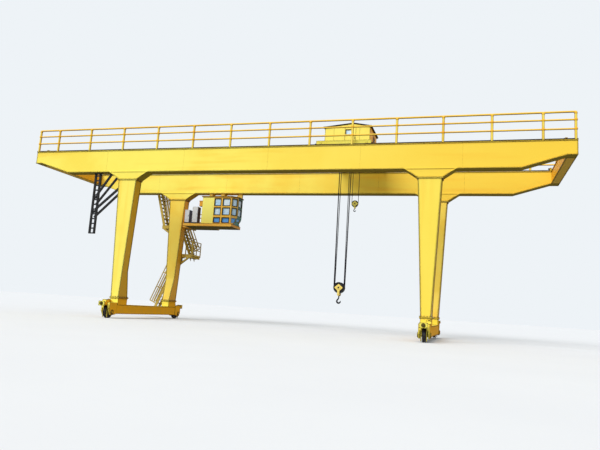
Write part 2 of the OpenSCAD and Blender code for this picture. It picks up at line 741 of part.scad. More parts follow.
// The platform is wide beside the cabinets and narrow under the cab's front
platform_y1 = lane2 - 200;
platform_edge = 40;
platform_wide_x = cab_rear + 500;
arm_t = 80;
module cab_platform() color(deep_yellow) {
    translate([0, 0, platform_z - platform_d]) linear_extrude(platform_d)
        polygon([[platform_x0, cab_y - platform_edge], [cab_front - cab_rake_x, cab_y - platform_edge],
            [cab_front - cab_rake_x, cab_back + platform_edge],
            [platform_wide_x, cab_back + platform_edge], [platform_wide_x, platform_y1],
            [platform_x0, platform_y1]]);
    // arms to the far left leg's side plate
    for (y = [-200, 120]) side_plate(girder_y + y, arm_t)
        polygon([[platform_x0, platform_z - platform_d], [platform_x0, platform_z],
            leg_side_point(platform_z), leg_side_point(platform_z - platform_d)]);
    guard([platform_x0, platform_y1 - hand_t], [platform_wide_x, platform_y1 - hand_t], platform_z);
}

function leg_side_point(z) = [-leg_x + leg_half(z) - leg_lip + seat_gap, z];

module cab_roof() color(deep_yellow)
    translate([0, 0, cab_top]) linear_extrude(60) polygon(cab_plan(-60));

// Stub hangers between the roof and the girder, and a gusset at the front
hanger_top = soffit_z - seat_gap;
module cab_hangers() color(deep_yellow) {
    for (x = [[cab_rear + 20, 360], [cab_rear + 900, 400]])
        for (y = [girder_y - 230, girder_y + 70])
            translate([x[0], y, cab_top + 60 + seat_gap]) {
                cube([x[1], 160, 20]);
                translate([60, 0, 0]) cube([x[1] - 120, 160, hanger_top - cab_top - 60 - seat_gap]);
            }
    side_plate(girder_y - 200, 120) polygon([[cab_front - 500, cab_top + 60 + seat_gap],
        [cab_front + 60, cab_top + 60 + seat_gap], [cab_front + 60, hanger_top],
        [cab_front - 160, hanger_top]]);
}

// Each cabinet: its distance from the leg, width, depth and height
cabinets = [[1070, 340, 450, 930], [1640, 400, 450, 1150]];
module control_cabinets() color("#c9ccd0")
    for (c = cabinets) translate([-leg_x + c[0], cab_y, platform_z]) cube([c[1], c[2], c[3]]);

module junction_box() color(deep_yellow)
    translate([cab_rear - 260 - seat_gap, cab_y + 60, platform_z + 1200]) {
        cube([260, 260, 380]);
        translate([-20, -20, 330]) cube([280, 300, 50]);
    }

// Trolley
truck_w = 240;
truck_z = top_z + track_h + 35;
truck_h = 230;
deck_z = truck_z + truck_h + 50;
trolley_wheel_dx = trolley_len / 2 - 260;
pin_r = 35;
drum_z = deck_z + 450;
main_x = trolley_x + main_dx;
aux_x = trolley_x + aux_dx;
main_drum_len = 1500;
aux_drum_len = 1000;
bearing_t = 50;

module trolley_frame() color(yellow) difference() {
    union() {
        for (side = [-1, 1]) translate([trolley_x - trolley_len / 2,
            side * track_y - truck_w / 2, truck_z]) cube([trolley_len, truck_w, truck_h]);
        for (x = [trolley_x - trolley_len / 2 + 60, trolley_x + trolley_len / 2 - 300])
            translate([x, -track_y, truck_z + 10]) cube([240, 2 * track_y, truck_h - 10]);
        translate([trolley_x - trolley_len / 2 + 20, -house_len / 2 - 80, deck_z - 50])
            cube([trolley_len - 40, house_len + 160, 50]);
        drum_bearings(main_x, main_drum_len);
        drum_bearings(aux_x, aux_drum_len);
    }
    translate([main_x - main_pitch_r - 80, -320, deck_z - 60])
        cube([aux_x - main_x + main_pitch_r + aux_pitch_r + 160, 640, 80]);
    for (sx = [-1, 1], sy = [-1, 1]) translate([trolley_x + sx * trolley_wheel_dx,
        sy * track_y, top_z + track_h + trolley_wheel_r]) {
        translate([-trolley_wheel_r - 30, -65, -200])
            cube([2 * trolley_wheel_r + 60, 130, 200 + trolley_wheel_r + 8]);
        rotate([90, 0, 0]) translate([0, 0, -truck_w]) cylinder(r = pin_r + seat_gap, h = 2 * truck_w);
    }
}

module drum_bearings(x, length)
    for (side = [-1, 1]) difference() {
        side_plate(side * (length / 2 + 60) - bearing_t / 2, bearing_t) {
            translate([x - 140, deck_z - 10]) square([280, drum_z - deck_z + 10]);
            translate([x, drum_z]) circle(r = 140);
        }
        translate([x, side * (length / 2 + 60) + 60, drum_z]) rotate([90, 0, 0])
            cylinder(r = 60 + seat_gap, h = 120);
    }

module trolley_wheels() color(black)
    for (sx = [-1, 1], sy = [-1, 1]) translate([trolley_x + sx * trolley_wheel_dx,
        sy * track_y, top_z + track_h + trolley_wheel_r + seat_gap]) rotate([90, 0, 0]) {
        translate([0, 0, -track_w / 2]) cylinder(r = trolley_wheel_r, h = track_w);
        translate([0, 0, -truck_w / 2]) cylinder(r = pin_r, h = truck_w);
    }

house_x = trolley_x - 260;
window = [house_x - 70, deck_z + 925, 370, 260];
module hoist_house() color(yellow) difference() {
    translate([house_x - house_w / 2, -house_len / 2, deck_z]) cube([house_w, house_len, house_h]);
    translate([house_x - house_w / 2 + house_wall, -house_len / 2 + house_wall, deck_z - 1])
        cube([house_w - 2 * house_wall, house_len - 2 * house_wall, house_h + 2]);
    translate([window[0], -house_len / 2 - 1, window[1]])
        cube([window[2], house_wall + 2, window[3]]);
}

module house_window() color("#a9c9d8")
    translate([window[0] - 20, -house_len / 2 + house_wall + seat_gap, window[1] - 20])
        cube([window[2] + 40, 10, window[3] + 40]);

module house_roof() color(yellow)
    side_plate(-house_len / 2 - 60, house_len + 120) translate([house_x, deck_z + house_h])
        polygon([[-house_w / 2 - 60, 0], [house_w / 2 + 60, 0], [house_w / 2 + 60, 40],
            [ridge_off, roof_rise + 40], [-house_w / 2 - 60, 40]]);

module drum(x, radius, length) translate([x, 0, drum_z]) rotate([90, 0, 0]) {
    translate([0, 0, -length / 2]) cylinder(r = radius, h = length);
    for (z = [-length / 2 - 20, length / 2]) translate([0, 0, z]) cylinder(r = radius + 40, h = 20);
    translate([0, 0, -length / 2 - 120]) cylinder(r = 60, h = length + 240);
}

module hoist_drums() color("#55585c") {
    drum(main_x, main_pitch_r - main_rope_r - seat_gap, main_drum_len);
    drum(aux_x, aux_pitch_r - aux_rope_r - seat_gap, aux_drum_len);
}

module rope_falls(x, pitch_r, rope_r, low_z, rows, gap)
    for (side = [-1, 1], y = rows) translate([x + side * pitch_r, y * gap, low_z])
        cylinder(r = rope_r, h = drum_z - low_z, $fn = 12);

module main_ropes() color(black)
    rope_falls(main_x, main_pitch_r, main_rope_r, main_block_z, [-1, 0, 1], sheave_gap);
module aux_ropes() color(black)
    rope_falls(aux_x, aux_pitch_r, aux_rope_r, aux_block_z, [0], 0);

// A grooved rope sheave on the Y axis, bored for its pin, with a thin web
// that has a ring of lightening holes
rim_t = 42;
hub_t = 30;
module sheave(pitch_r, rope_r, width, bore) rotate([90, 0, 0]) {
    web_out = pitch_r - rim_t;
    web_in = bore + hub_t;
    difference() {
        rotate_extrude() difference() {
            union() {
                translate([bore, -width / 2]) square([hub_t, width]);
                translate([bore, -width / 6]) square([pitch_r - bore, width / 3]);
                translate([web_out, -width / 2]) square([rim_t + rope_r * 1.6, width]);
            }
            translate([pitch_r, 0]) circle(r = rope_r + seat_gap);
            translate([pitch_r, 0]) polygon([[0, -rope_r - seat_gap], [2 * rope_r, -1.8 * rope_r],
                [2 * rope_r, 1.8 * rope_r], [0, rope_r + seat_gap]]);
        }
        for (i = [0:5]) rotate([0, 0, 60 * i]) translate([(web_in + web_out) / 2, 0, -width / 2])
            cylinder(r = (web_out - web_in) * 0.3, h = width);
    }
}

main_pin_r = 50;
aux_pin_r = 28;
sheave_w = 80;
aux_sheave_w = 60;
module main_sheaves() color(black)
    for (i = [-1, 0, 1]) translate([main_x, i * sheave_gap, main_block_z])
        sheave(main_pitch_r, main_rope_r, sheave_w, main_pin_r + seat_gap);

module aux_sheave() color(black) translate([aux_x, 0, aux_block_z])
    sheave(aux_pitch_r, aux_rope_r, aux_sheave_w, aux_pin_r + seat_gap);

// A hook block's frame about its sheave pin: two kite-shaped cheek plates
// with round corners and a straight neck, the pin with its collars, and a
// forged crosshead on trunnions, bored for the hook's shank
main_head_h = 60;
aux_head_h = 36;
main_drop = main_pitch_r + main_rim_drop;
aux_drop = aux_pitch_r + aux_rim_drop;
module block_cheeks(half_y, t, w, neck, drop, head_h, pin, bore) {
    ends = 2 * (half_y + t);
    difference() {
        union() {
            for (y = [-half_y - t, half_y]) side_plate(y, t) {
                intersection() {
                    polygon([[0, w * 0.42], [-w / 2, 0], [0, -w * 0.48], [w / 2, 0]]);
                    circle(r = w / 2 - 18);
                }
                translate([-neck, head_h / 2 - drop]) square([2 * neck, drop - w * 0.3]);
                translate([0, head_h / 2 - drop]) circle(r = neck);
            }
            rotate([90, 0, 0]) for (part = [[pin, 24], [pin + 26, 10]])
                difference() {
                    cylinder(r = part[0], h = ends + 2 * part[1], center = true);
                    if (part[0] > pin) cylinder(r = part[0] + 1, h = 2 * half_y + 1, center = true);
                }
            translate([-neck * 0.8, -half_y, -drop]) cube([neck * 1.6, 2 * half_y, head_h]);
            translate([0, 0, head_h / 2 - drop]) rotate([90, 0, 0])
                cylinder(r = head_h * 0.42, h = ends + 24, center = true);
        }
        translate([0, 0, -drop - 1]) cylinder(r = bore, h = head_h + 2);
    }
}

main_half_y = sheave_gap + sheave_w / 2 + 10;
aux_half_y = aux_sheave_w / 2 + 15;
module main_block_cheeks() color(yellow) translate([main_x, 0, main_block_z])
    block_cheeks(main_half_y, 30, main_cheek_w, 68, main_drop, main_head_h, main_pin_r,
        main_shank_r + seat_gap);
module aux_block_cheeks() color(yellow) translate([aux_x, 0, aux_block_z])
    block_cheeks(aux_half_y, 20, aux_cheek_w, 44, aux_drop, aux_head_h, aux_pin_r,
        aux_shank_r + seat_gap);

// The middle line of a hook about its bowl's centre, for t from 0 at the
// shank to 1 at the tip: a smooth neck, then an arc round the bowl
neck_share = 0.25;
arc_from = 150;
arc_to = 378;
function at_angle(a) = [cos(a), sin(a)];
function hook_line(t) = t < neck_share
    ? let (s = t / neck_share, end = at_angle(arc_from), lead = end + 0.55 * at_angle(arc_from - 90))
        pow(1 - s, 3) * [0, 2.1] + 3 * s * pow(1 - s, 2) * [0, 1.5] + 3 * s * s * (1 - s) * lead
        + pow(s, 3) * end
    : at_angle(arc_from + (arc_to - arc_from) * (t - neck_share) / (1 - neck_share));

// The section's size along the hook, as a share of the shank's radius
hook_sizes = [[0, 1], [0.25, 1.12], [0.6, 1.25], [0.85, 0.95], [0.96, 0.6], [1, 0.36]];
function hook_size(t) = lookup(t, hook_sizes);
hook_rings = 26;
hook_sides = 12;
// How much deeper than round, and how much narrower, the section grows
hook_deepen = 0.2;
hook_narrow = 0.14;

module hook_body(bowl_r, shank_r) {
    points = [for (i = [0:hook_rings - 1]) let (t = i / (hook_rings - 1), half = 0.002,
        ahead = hook_line(min(1, t + half)) - hook_line(max(0, t - half)),
        along = ahead / norm(ahead), inward = [-along[1], along[0]], grow = min(1, 4 * t),
        size = shank_r * hook_size(t), middle = bowl_r * hook_line(t))
        for (k = [0:hook_sides - 1]) let (a = 360 * k / hook_sides,
            depth = size * (1 + hook_deepen * grow) * cos(a),
            side = size * (1 - hook_narrow * grow) * (1 + 0.16 * grow * cos(a)) * sin(a))
            [middle[0] + inward[0] * depth, side, middle[1] + inward[1] * depth]];
    walls = [for (i = [0:hook_rings - 2], k = [0:hook_sides - 1])
        let (j = (k + 1) % hook_sides, low = i * hook_sides, high = low + hook_sides)
        each [[low + k, low + j, high + j], [low + k, high + j, high + k]]];
    first = [for (k = [hook_sides - 1:-1:0]) k];
    last = [for (k = [0:hook_sides - 1]) (hook_rings - 1) * hook_sides + k];
    polyhedron(points, concat([first], walls, [last]));
}

// A single hook hanging from a crosshead of height head_h by its nut
module hook(bowl_r, shank_r, drop, head_h) {
    shank_low = 2.1 * bowl_r - drop;
    translate([0, 0, -drop]) hook_body(bowl_r, shank_r);
    translate([0, 0, shank_low - 1]) cylinder(r = shank_r, h = head_h + 1.2 * shank_r - shank_low + 1);
    translate([0, 0, head_h + seat_gap]) cylinder(r = shank_r * 1.5, h = shank_r * 0.8, $fn = 6);
}

main_bowl_drop = 347;
aux_bowl_drop = 135;
module main_hook() color(black) translate([main_x, 0, main_block_z - main_drop])
    hook(main_bowl_r, main_shank_r, main_bowl_drop, main_head_h);
module aux_hook() color(black) translate([aux_x, 0, aux_block_z - aux_drop])
    hook(aux_bowl_r, aux_shank_r, aux_bowl_drop, aux_head_h);

near_girder();
far_girder();
left_end_beam();
right_end_beam();
near_left_leg();
near_right_leg();
far_left_leg();
far_right_leg();
left_carriage();
right_carriage();
travel_buffers();
travel_drives();
near_left_wheel();
near_right_wheel();
far_left_wheel();
far_right_wheel();
near_railing();
far_railing();
trolley_tracks();
collector_frame();
lower_stair_sides();
middle_stair_sides();
upper_stair_sides();
stair_treads();
stair_landings();
cab_platform();
cab_frame();
cab_glass();
cab_roof();
cab_hangers();
control_cabinets();
junction_box();
trolley_frame();
trolley_wheels();
hoist_house();
house_roof();
house_window();
hoist_drums();
main_ropes();
aux_ropes();
main_block_cheeks();
main_sheaves();
main_hook();
aux_block_cheeks();
aux_sheave();
aux_hook();
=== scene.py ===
"""Looks for a double-girder gantry crane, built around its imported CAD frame."""
import json
import math
from types import SimpleNamespace

import bpy
from mathutils import Matrix, Vector


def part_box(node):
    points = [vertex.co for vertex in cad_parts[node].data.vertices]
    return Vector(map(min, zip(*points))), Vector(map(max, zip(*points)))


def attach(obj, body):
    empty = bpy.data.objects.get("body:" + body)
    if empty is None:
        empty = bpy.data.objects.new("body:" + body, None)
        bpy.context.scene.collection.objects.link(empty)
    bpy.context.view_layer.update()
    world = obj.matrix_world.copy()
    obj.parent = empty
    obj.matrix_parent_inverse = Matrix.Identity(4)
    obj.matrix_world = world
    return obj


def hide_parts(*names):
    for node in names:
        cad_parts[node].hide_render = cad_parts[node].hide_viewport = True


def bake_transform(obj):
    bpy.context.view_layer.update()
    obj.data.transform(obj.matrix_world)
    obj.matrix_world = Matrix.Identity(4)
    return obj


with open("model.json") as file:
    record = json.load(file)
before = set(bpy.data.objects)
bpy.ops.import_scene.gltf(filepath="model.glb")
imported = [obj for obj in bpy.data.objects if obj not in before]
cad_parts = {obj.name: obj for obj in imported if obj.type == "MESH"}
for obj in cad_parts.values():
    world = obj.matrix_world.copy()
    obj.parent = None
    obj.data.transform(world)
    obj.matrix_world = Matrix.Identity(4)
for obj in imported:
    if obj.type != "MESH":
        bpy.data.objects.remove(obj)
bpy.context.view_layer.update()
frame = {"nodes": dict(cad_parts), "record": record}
nodes = frame["nodes"]
scene = bpy.context.scene

# Camera: place and turn found from the crane's own straight edges
CAMERA_AT = Vector((11.257, -32.583, 1.214))
CAMERA_YAW = 0.3021
CAMERA_PITCH = 0.1469
CAMERA_ROLL = 0.0648
LENS_MM = 34.06
SENSOR_MM = 36.0


def make_camera():
    forward = Vector((-math.sin(CAMERA_YAW) * math.cos(CAMERA_PITCH),
                      math.cos(CAMERA_YAW) * math.cos(CAMERA_PITCH), math.sin(CAMERA_PITCH)))
    level = Vector((math.cos(CAMERA_YAW), math.sin(CAMERA_YAW), 0))
    upright = level.cross(forward)
    right = math.cos(CAMERA_ROLL) * level + math.sin(CAMERA_ROLL) * upright
    up = -math.sin(CAMERA_ROLL) * level + math.cos(CAMERA_ROLL) * upright
    data = bpy.data.cameras.new("camera")
    data.lens = LENS_MM
    data.sensor_width = SENSOR_MM
    data.clip_start, data.clip_end = 0.1, 2000
    camera = bpy.data.objects.new("camera", data)
    camera.matrix_world = Matrix.Translation(CAMERA_AT) @ Matrix(
        (right, up, -forward)).transposed().to_4x4()
    scene.collection.objects.link(camera)
    scene.camera = camera


make_camera()


# Places that several pieces share, read from the frame
girder_low, girder_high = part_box("far_girder")
leg_low, leg_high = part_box("far_right_leg")
cab_low, cab_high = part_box("cab_frame")
GIRDER_Y = (girder_low.y + girder_high.y) / 2
FLANGE = (girder_high.y - girder_low.y) / 2
TOP = girder_high.z
HALF_LEN = girder_high.x
LEG_X = (leg_low.x + leg_high.x) / 2
FOOT, HEAD = leg_low.z, leg_high.z
CORNERS = [(sx, sy) for sx in (-1, 1) for sy in (-1, 1)]

# Sizes that the boxes don't show: half the width over a girder's webs, the depth of the haunch at
# each leg and half its length, and the gap between a piece and its seat
WEB = 0.295
HAUNCH = 0.46
HAUNCH_HALF = 1.3
SEAT_GAP = 0.0003
LEG_OUTER = GIRDER_Y + WEB
SOFFIT = HEAD + HAUNCH


# Materials

def rgb(hex_code):
    """A colour as it looks on a screen, as the linear numbers that shaders take."""
    parts = [int(hex_code[i:i + 2], 16) / 255 for i in (1, 3, 5)]
    return tuple(p / 12.92 if p <= 0.04045 else ((p + 0.055) / 1.055) ** 2.4 for p in parts) + (1,)


class Shader:
    """A material with one principled shader, and short ways to add nodes to it."""

    def __init__(self, name, metallic=0.0, roughness=0.5, **sockets):
        self.material = bpy.data.materials.new(name)
        self.material.use_nodes = True
        self.tree = self.material.node_tree
        self.main = self.tree.nodes["Principled BSDF"]
        self.main.inputs["Metallic"].default_value = metallic
        self.main.inputs["Roughness"].default_value = roughness
        for key, value in sockets.items():
            self.main.inputs[key.replace("_", " ")].default_value = value
        coordinates = self.tree.nodes.new("ShaderNodeTexCoord")
        self.place = coordinates.outputs["Object"]
        self.facing = coordinates.outputs["Normal"]

    def node(self, kind, **settings):
        made = self.tree.nodes.new(kind)
        for key, value in settings.items():
            if key in made.inputs:
                made.inputs[key].default_value = value
            else:
                setattr(made, key, value)
        return made

    def join(self, out, into):
        self.tree.links.new(out, into)

    def feed(self, value, into):
        """A number or colour set on a socket, or another socket joined to it."""
        if isinstance(value, (float, tuple)):
            into.default_value = value
        else:
            self.join(value, into)

    def stretched(self, scale):
        """Object coordinates, scaled differently along each axis."""
        mapping = self.node("ShaderNodeMapping")
        mapping.inputs["Scale"].default_value = scale
        self.join(self.place, mapping.inputs["Vector"])
        return mapping.outputs["Vector"]

    def noise(self, scale, detail=4.0, roughness=0.55, vector=None):
        made = self.node("ShaderNodeTexNoise", Scale=scale, Detail=detail, Roughness=roughness)
        self.join(vector or self.place, made.inputs["Vector"])
        return made.outputs["Fac"]

    def ramp(self, fac, low, high, invert=False):
        """Zero below low, one above high."""
        limits = {"From Min": low, "From Max": high, "To Min": float(invert), "To Max": float(not invert)}
        made = self.node("ShaderNodeMapRange", interpolation_type="SMOOTHSTEP", **limits)
        self.join(fac, made.inputs["Value"])
        return made.outputs["Result"]

    def math(self, operation, a, b=None):
        made = self.node("ShaderNodeMath", operation=operation)
        self.feed(a, made.inputs[0])
        if b is not None:
            self.feed(b, made.inputs[1])
        return made.outputs[0]

    def times(self, a, b):
        return self.math("MULTIPLY", a, b)

    def mix(self, fac, a, b):
        """A blend of colours or sockets. The node keeps its colours at inputs 6 and 7, output 2."""
        made = self.node("ShaderNodeMix", data_type="RGBA", blend_type="MIX")
        self.join(fac, made.inputs[0])
        self.feed(a, made.inputs[6])
        self.feed(b, made.inputs[7])
        return made.outputs[2]

    def axis(self, vector, letter):
        split = self.node("ShaderNodeSeparateXYZ")
        self.join(vector, split.inputs[0])
        return split.outputs[letter]

    def edges(self, radius):
        """One on the piece's edges, fading out within that distance, and zero on flat stretches."""
        rounded = self.node("ShaderNodeBevel", samples=6, Radius=radius)
        flat = self.node("ShaderNodeNewGeometry")
        match = self.node("ShaderNodeVectorMath", operation="DOT_PRODUCT")
        self.join(rounded.outputs["Normal"], match.inputs[0])
        self.join(flat.outputs["Normal"], match.inputs[1])
        return self.ramp(match.outputs["Value"], 0.9, 0.98, invert=True)

    def bump(self, height, strength, distance):
        made = self.node("ShaderNodeBump", Strength=strength, Distance=distance)
        self.join(height, made.inputs["Height"])
        self.join(made.outputs["Normal"], self.main.inputs["Normal"])

    def colour(self, out):
        self.join(out, self.main.inputs["Base Color"])

    def roughness(self, low, high, fac):
        grey = self.mix(fac, (low,) * 3 + (1,), (high,) * 3 + (1,))
        self.join(grey, self.main.inputs["Roughness"])


LINE_BROWN = "#2c1b05"
DUST = "#a08a58"
RUST_SPECK = "#8a5a22"
# Painted reflection of clouds in the cab's panes
PAINTED_CLOUD_REFLECTION = "#e6f4ff"


def worn_line(s, radius, haunches):
    """How strong the dark line on worn edges is, broken up where the paint has held."""
    worn = s.times(s.edges(radius), s.ramp(s.noise(2.2, detail=5.0), 0.12, 0.34))
    if not haunches:
        return worn
    off_leg = s.math("ABSOLUTE", s.math("SUBTRACT", s.math("ABSOLUTE", s.axis(s.place, "X")), LEG_X))
    height = s.math("ABSOLUTE", s.math("SUBTRACT", s.axis(s.place, "Z"), SOFFIT))
    clear = s.math("MAXIMUM", s.ramp(off_leg, HAUNCH_HALF, HAUNCH_HALF + 0.1), s.ramp(height, 0.12, 0.14))
    return s.times(worn, clear)


def enamel(name, base, cloud, side, under, edge=0.05, line=0.9, grain=(5.0, 5.0, 0.28), dusty=0.35,
           split=None, warm=None, haunches=False, rear=None, streaks=None, rough=0.42):
    """Weathered enamel. The base shows on faces across the crane; side and under are painted
    shade, darker tones of faces along it and below. Edges carry a dark worn line. split gives
    another base colour beyond a place along X, warm is the tone that the base reaches at the
    crane's right, rear is painted shade on faces to the left where it isn't the side's, and
    streaks is the tone that the grain's long streaks take where it isn't the cloud's. haunches
    leaves out the line where a haunch is welded flush under its girder, and rough is the
    roughness of the clean paint."""
    s = Shader(name, roughness=0.5, Specular_IOR_Level=0.1)
    colour = s.mix(s.ramp(s.noise(0.35, detail=3.0), 0.4, 0.72), rgb(base), rgb(cloud))
    if warm:
        colour = s.mix(s.ramp(s.axis(s.place, "X"), -9.0, 17.0), colour, rgb(warm))
    if split:
        beyond = s.ramp(s.axis(s.place, "X"), split[0], split[0] + 0.01)
        colour = s.mix(beyond, colour, rgb(split[1]))
    streak = s.ramp(s.noise(1.0, detail=5.0, vector=s.stretched(grain)), 0.46, 0.72)
    colour = s.mix(s.times(streak, 0.6 if streaks else 0.22), colour, rgb(streaks or cloud))
    # Painted shade: faces along the crane take the darker side tone
    along = s.ramp(s.math("ABSOLUTE", s.axis(s.facing, "X")), 0.6, 0.9)
    colour = s.mix(along, colour, rgb(side))
    # Painted shade: faces to the left take the rear tone instead
    if rear:
        left_face_shade = s.ramp(s.axis(s.facing, "X"), -0.9, -0.6, invert=True)
        colour = s.mix(left_face_shade, colour, rgb(rear))
    # Painted shade: faces below take the darker under tone
    below = s.ramp(s.axis(s.facing, "Z"), -0.9, -0.4, invert=True)
    colour = s.mix(below, colour, rgb(under))
    low = s.ramp(s.axis(s.place, "Z"), 0.2, 1.9, invert=True)
    dust = s.times(low, s.ramp(s.noise(3.0, detail=6.0), 0.35, 0.7))
    colour = s.mix(s.times(dust, dusty), colour, rgb(DUST))
    speck = s.ramp(s.noise(22.0, detail=8.0, roughness=0.7), 0.71, 0.76)
    colour = s.mix(s.times(speck, 0.45), colour, rgb(RUST_SPECK))
    if edge:
        colour = s.mix(s.times(worn_line(s, edge, haunches), line), colour, rgb(LINE_BROWN))
    s.colour(colour)
    s.roughness(rough, 0.95, s.math("MAXIMUM", s.times(streak, 0.4), below))
    s.bump(s.noise(55.0, detail=3.0), 0.08, 0.004)
    return s.material


def dark_paint(name, base, dust, roughness=0.5):
    """Plain paint with dust in its worn patches."""
    s = Shader(name, roughness=roughness, Specular_IOR_Level=0.2)
    wear = s.ramp(s.noise(9.0, detail=8.0, roughness=0.65), 0.52, 0.72)
    s.colour(s.mix(s.times(wear, 0.4), rgb(base), rgb(dust)))
    s.bump(s.noise(120.0, detail=2.0), 0.12, 0.003)
    return s.material


def steel(name, base, rust, metallic=0.8, roughness=0.45):
    """Bare steel or iron with patches of rust."""
    s = Shader(name, metallic=metallic, roughness=roughness)
    patch = s.ramp(s.noise(6.0, detail=9.0, roughness=0.7), 0.45, 0.65)
    s.colour(s.mix(patch, rgb(base), rgb(rust)))
    s.bump(s.noise(90.0, detail=4.0), 0.15, 0.003)
    return s.material


def wire(name, base, groove):
    """Steel wire rope: bands that wind round it, darker and deeper between the strands."""
    s = Shader(name, metallic=0.2, roughness=0.6, Specular_IOR_Level=0.2)
    strands = s.node("ShaderNodeTexWave", bands_direction="DIAGONAL", Scale=22.0, Distortion=0.3)
    s.join(s.place, strands.inputs["Vector"])
    s.colour(s.mix(strands.outputs["Fac"], rgb(groove), rgb(base)))
    s.bump(strands.outputs["Fac"], 0.6, 0.003)
    return s.material


def pane(name, high, low, split_z):
    """Tinted glazing that mirrors a pale sky, with painted cloud reflections in its colour, deeper blue in
    the row below split_z.
    """
    s = Shader(name, roughness=0.12, IOR=1.45, Specular_IOR_Level=0.35)
    # Painted reflection: pale clouds mixed into the glazing's colour
    cloud = s.ramp(s.noise(1.7, detail=2.0, vector=s.stretched((1, 1, 0.5))), 0.35, 0.65)
    upper = s.mix(cloud, rgb(high), rgb(PAINTED_CLOUD_REFLECTION))
    below = s.ramp(s.axis(s.place, "Z"), split_z, split_z + 0.02, invert=True)
    s.colour(s.mix(below, upper, rgb(low)))
    s.bump(s.noise(2.0, detail=1.0), 0.03, 0.01)
    return s.material


def checker_plate(name, base, dark):
    """Tread plate: raised diamonds over worn paint."""
    s = Shader(name, roughness=0.55)
    lattice = s.node("ShaderNodeTexChecker", Scale=28.0)
    turned = s.node("ShaderNodeMapping")
    turned.inputs["Rotation"].default_value = (0, 0, math.radians(45))
    s.join(s.place, turned.inputs["Vector"])
    s.join(turned.outputs["Vector"], lattice.inputs["Vector"])
    s.colour(s.mix(s.ramp(s.noise(4.0, detail=6.0), 0.4, 0.7), rgb(base), rgb(dark)))
    s.bump(lattice.outputs["Fac"], 0.5, 0.004)
    return s.material


# Colours of the crane's parts, by the record's slot and by node where a part is painted apart.
# The cab's wall changes colour past its rear panel, and its lowest panes are darker.
GIRDER_EDGE = 0.14
ALONG = (0.14, 2.0, 1.7)
UPRIGHT = (2.4, 2.4, 0.16)
REAR_PANEL = 0.86
LOW_PANES = 0.45
# In each enamel below, the third colour is painted shade on faces along the crane and the fourth is painted
# shade on faces below; the cab's teal on faces along it and its rear tone on faces to the left are painted
# shade too.
LEMON = enamel("lemon_enamel", "#ffee66", "#fde357", "#ffc632", "#97822c", edge=GIRDER_EDGE,
               warm="#fcd344", haunches=True, grain=ALONG, streaks="#fbc83e")
GOLD = enamel("gold_enamel", "#fff06c", "#fddf56", "#f6b42c", "#97822c", edge=GIRDER_EDGE,
              warm="#fcd346", haunches=True, grain=ALONG, streaks="#f9c03a")
END_BEAM = enamel("end_beam_enamel", "#fbd650", "#f2c440", "#f6b42c", "#ecc257", edge=GIRDER_EDGE)
LEG_LEMON = enamel("leg_enamel", "#ffee6c", "#fde25a", "#dba51e", "#97822c", edge=GIRDER_EDGE,
                   warm="#fee253", grain=UPRIGHT, streaks="#fcd24a")
# The far legs' copy of the leg paint: its deeper gold is painted shade, with its brightness raised as
# painted light against the near girder's shadow on them.
LEG_GOLD = enamel("leg_gold", "#ffe264", "#fbd04a", "#e8a824", "#b98f35", edge=GIRDER_EDGE,
                  grain=UPRIGHT, streaks="#f8c044")
CARRIAGE = enamel("carriage_enamel", "#ffee62", "#fbdc4a", "#fcb31c", "#8a7420", edge=0.065, dusty=0.15,
                  rough=0.85)
STAIR = enamel("stair_enamel", "#d8bd5c", "#b89f50", "#c9a438", "#6b5424", edge=0.03)
RAIL = enamel("rail_enamel", "#fdd052", "#f4c040", "#e8a832", "#4c300c", edge=0.0)
POST = enamel("post_enamel", "#fbe062", "#ecc94c", "#b98a2a", "#5c3c10", edge=0.0)
CLAMP = enamel("clamp_enamel", "#fdc63c", "#f4ac2c", "#d48c20", "#4c300c", edge=0.0)
CAB = enamel("cab_enamel", "#fff582", "#fde866", "#4f7f74", "#6b5a24", edge=0.03,
             split=(cab_low.x + REAR_PANEL, "#f8bc4e"), rear="#f5c243")
PLATFORM = enamel("platform_enamel", "#ffc456", "#f4b244", "#d9982c", "#5c5120", edge=0.06)
ORANGE = enamel("orange_enamel", "#e8a63a", "#d9922c", "#b8741e", "#7b4a16", edge=0.03)
HOUSE = enamel("house_enamel", "#fbea6e", "#f5d856", "#f3b02e", "#a97f2a", edge=0.08)
PLATE = enamel("plate_enamel", "#fff56e", "#fbe856", "#fbc030", "#a97f2a", edge=0.04)
BLOCK = enamel("block_enamel", "#ffe67e", "#fbcb50", "#f2bd40", "#a97f2a", edge=0.022)
# The aux block's copy of the block paint is brighter, as painted light against the near girder's shadow
# where it hangs.
AUX_BLOCK_LIT = enamel("aux_block_enamel", "#fff88a", "#fff07a", "#f2bd40", "#a97f2a", edge=0.01, line=0.6)

MATERIALS = {
    "yellow_paint": LEMON,
    "black_paint": dark_paint("black_paint", "#17181b", "#3a3631"),
    "tread_steel": enamel("tread_enamel", "#b09a44", "#8f7b38", "#8d7632", "#4c3c1c", edge=0.02),
    "track_steel": steel("track_steel", "#6d6760", "#5c4028"),
    "drum_steel": steel("drum_steel", "#4c4f53", "#3b3128", roughness=0.55),
    "wheel_iron": steel("wheel_iron", "#202125", "#332a24", metallic=0.6, roughness=0.5),
    "rope_wire": wire("rope_wire", "#2a2430", "#0f0d12"),
    "buffer_rubber": dark_paint("buffer_rubber", "#5b5324", "#3c3716", roughness=0.8),
    "cabinet_grey": dark_paint("cabinet_grey", "#dfe2e8", "#c3c2be", roughness=0.4),
    "window_glass": pane("window_glass", "#b4dcff", "#62a8f4", cab_low.z + LOW_PANES),
}
NAVY = dark_paint("navy_panel", "#222748", "#343a55", roughness=0.4)
LINE = dark_paint("dark_trim", "#2a1e0a", "#3c2e14", roughness=0.7)
PANE_LINE = dark_paint("pane_trim", "#4d4a1c", "#6b4a1c", roughness=0.6)
BOLT = steel("bolt_steel", "#5a4a2c", "#3a2a14", metallic=0.5, roughness=0.5)
DECK = checker_plate("deck_plate", "#a58f42", "#6e5c2a")
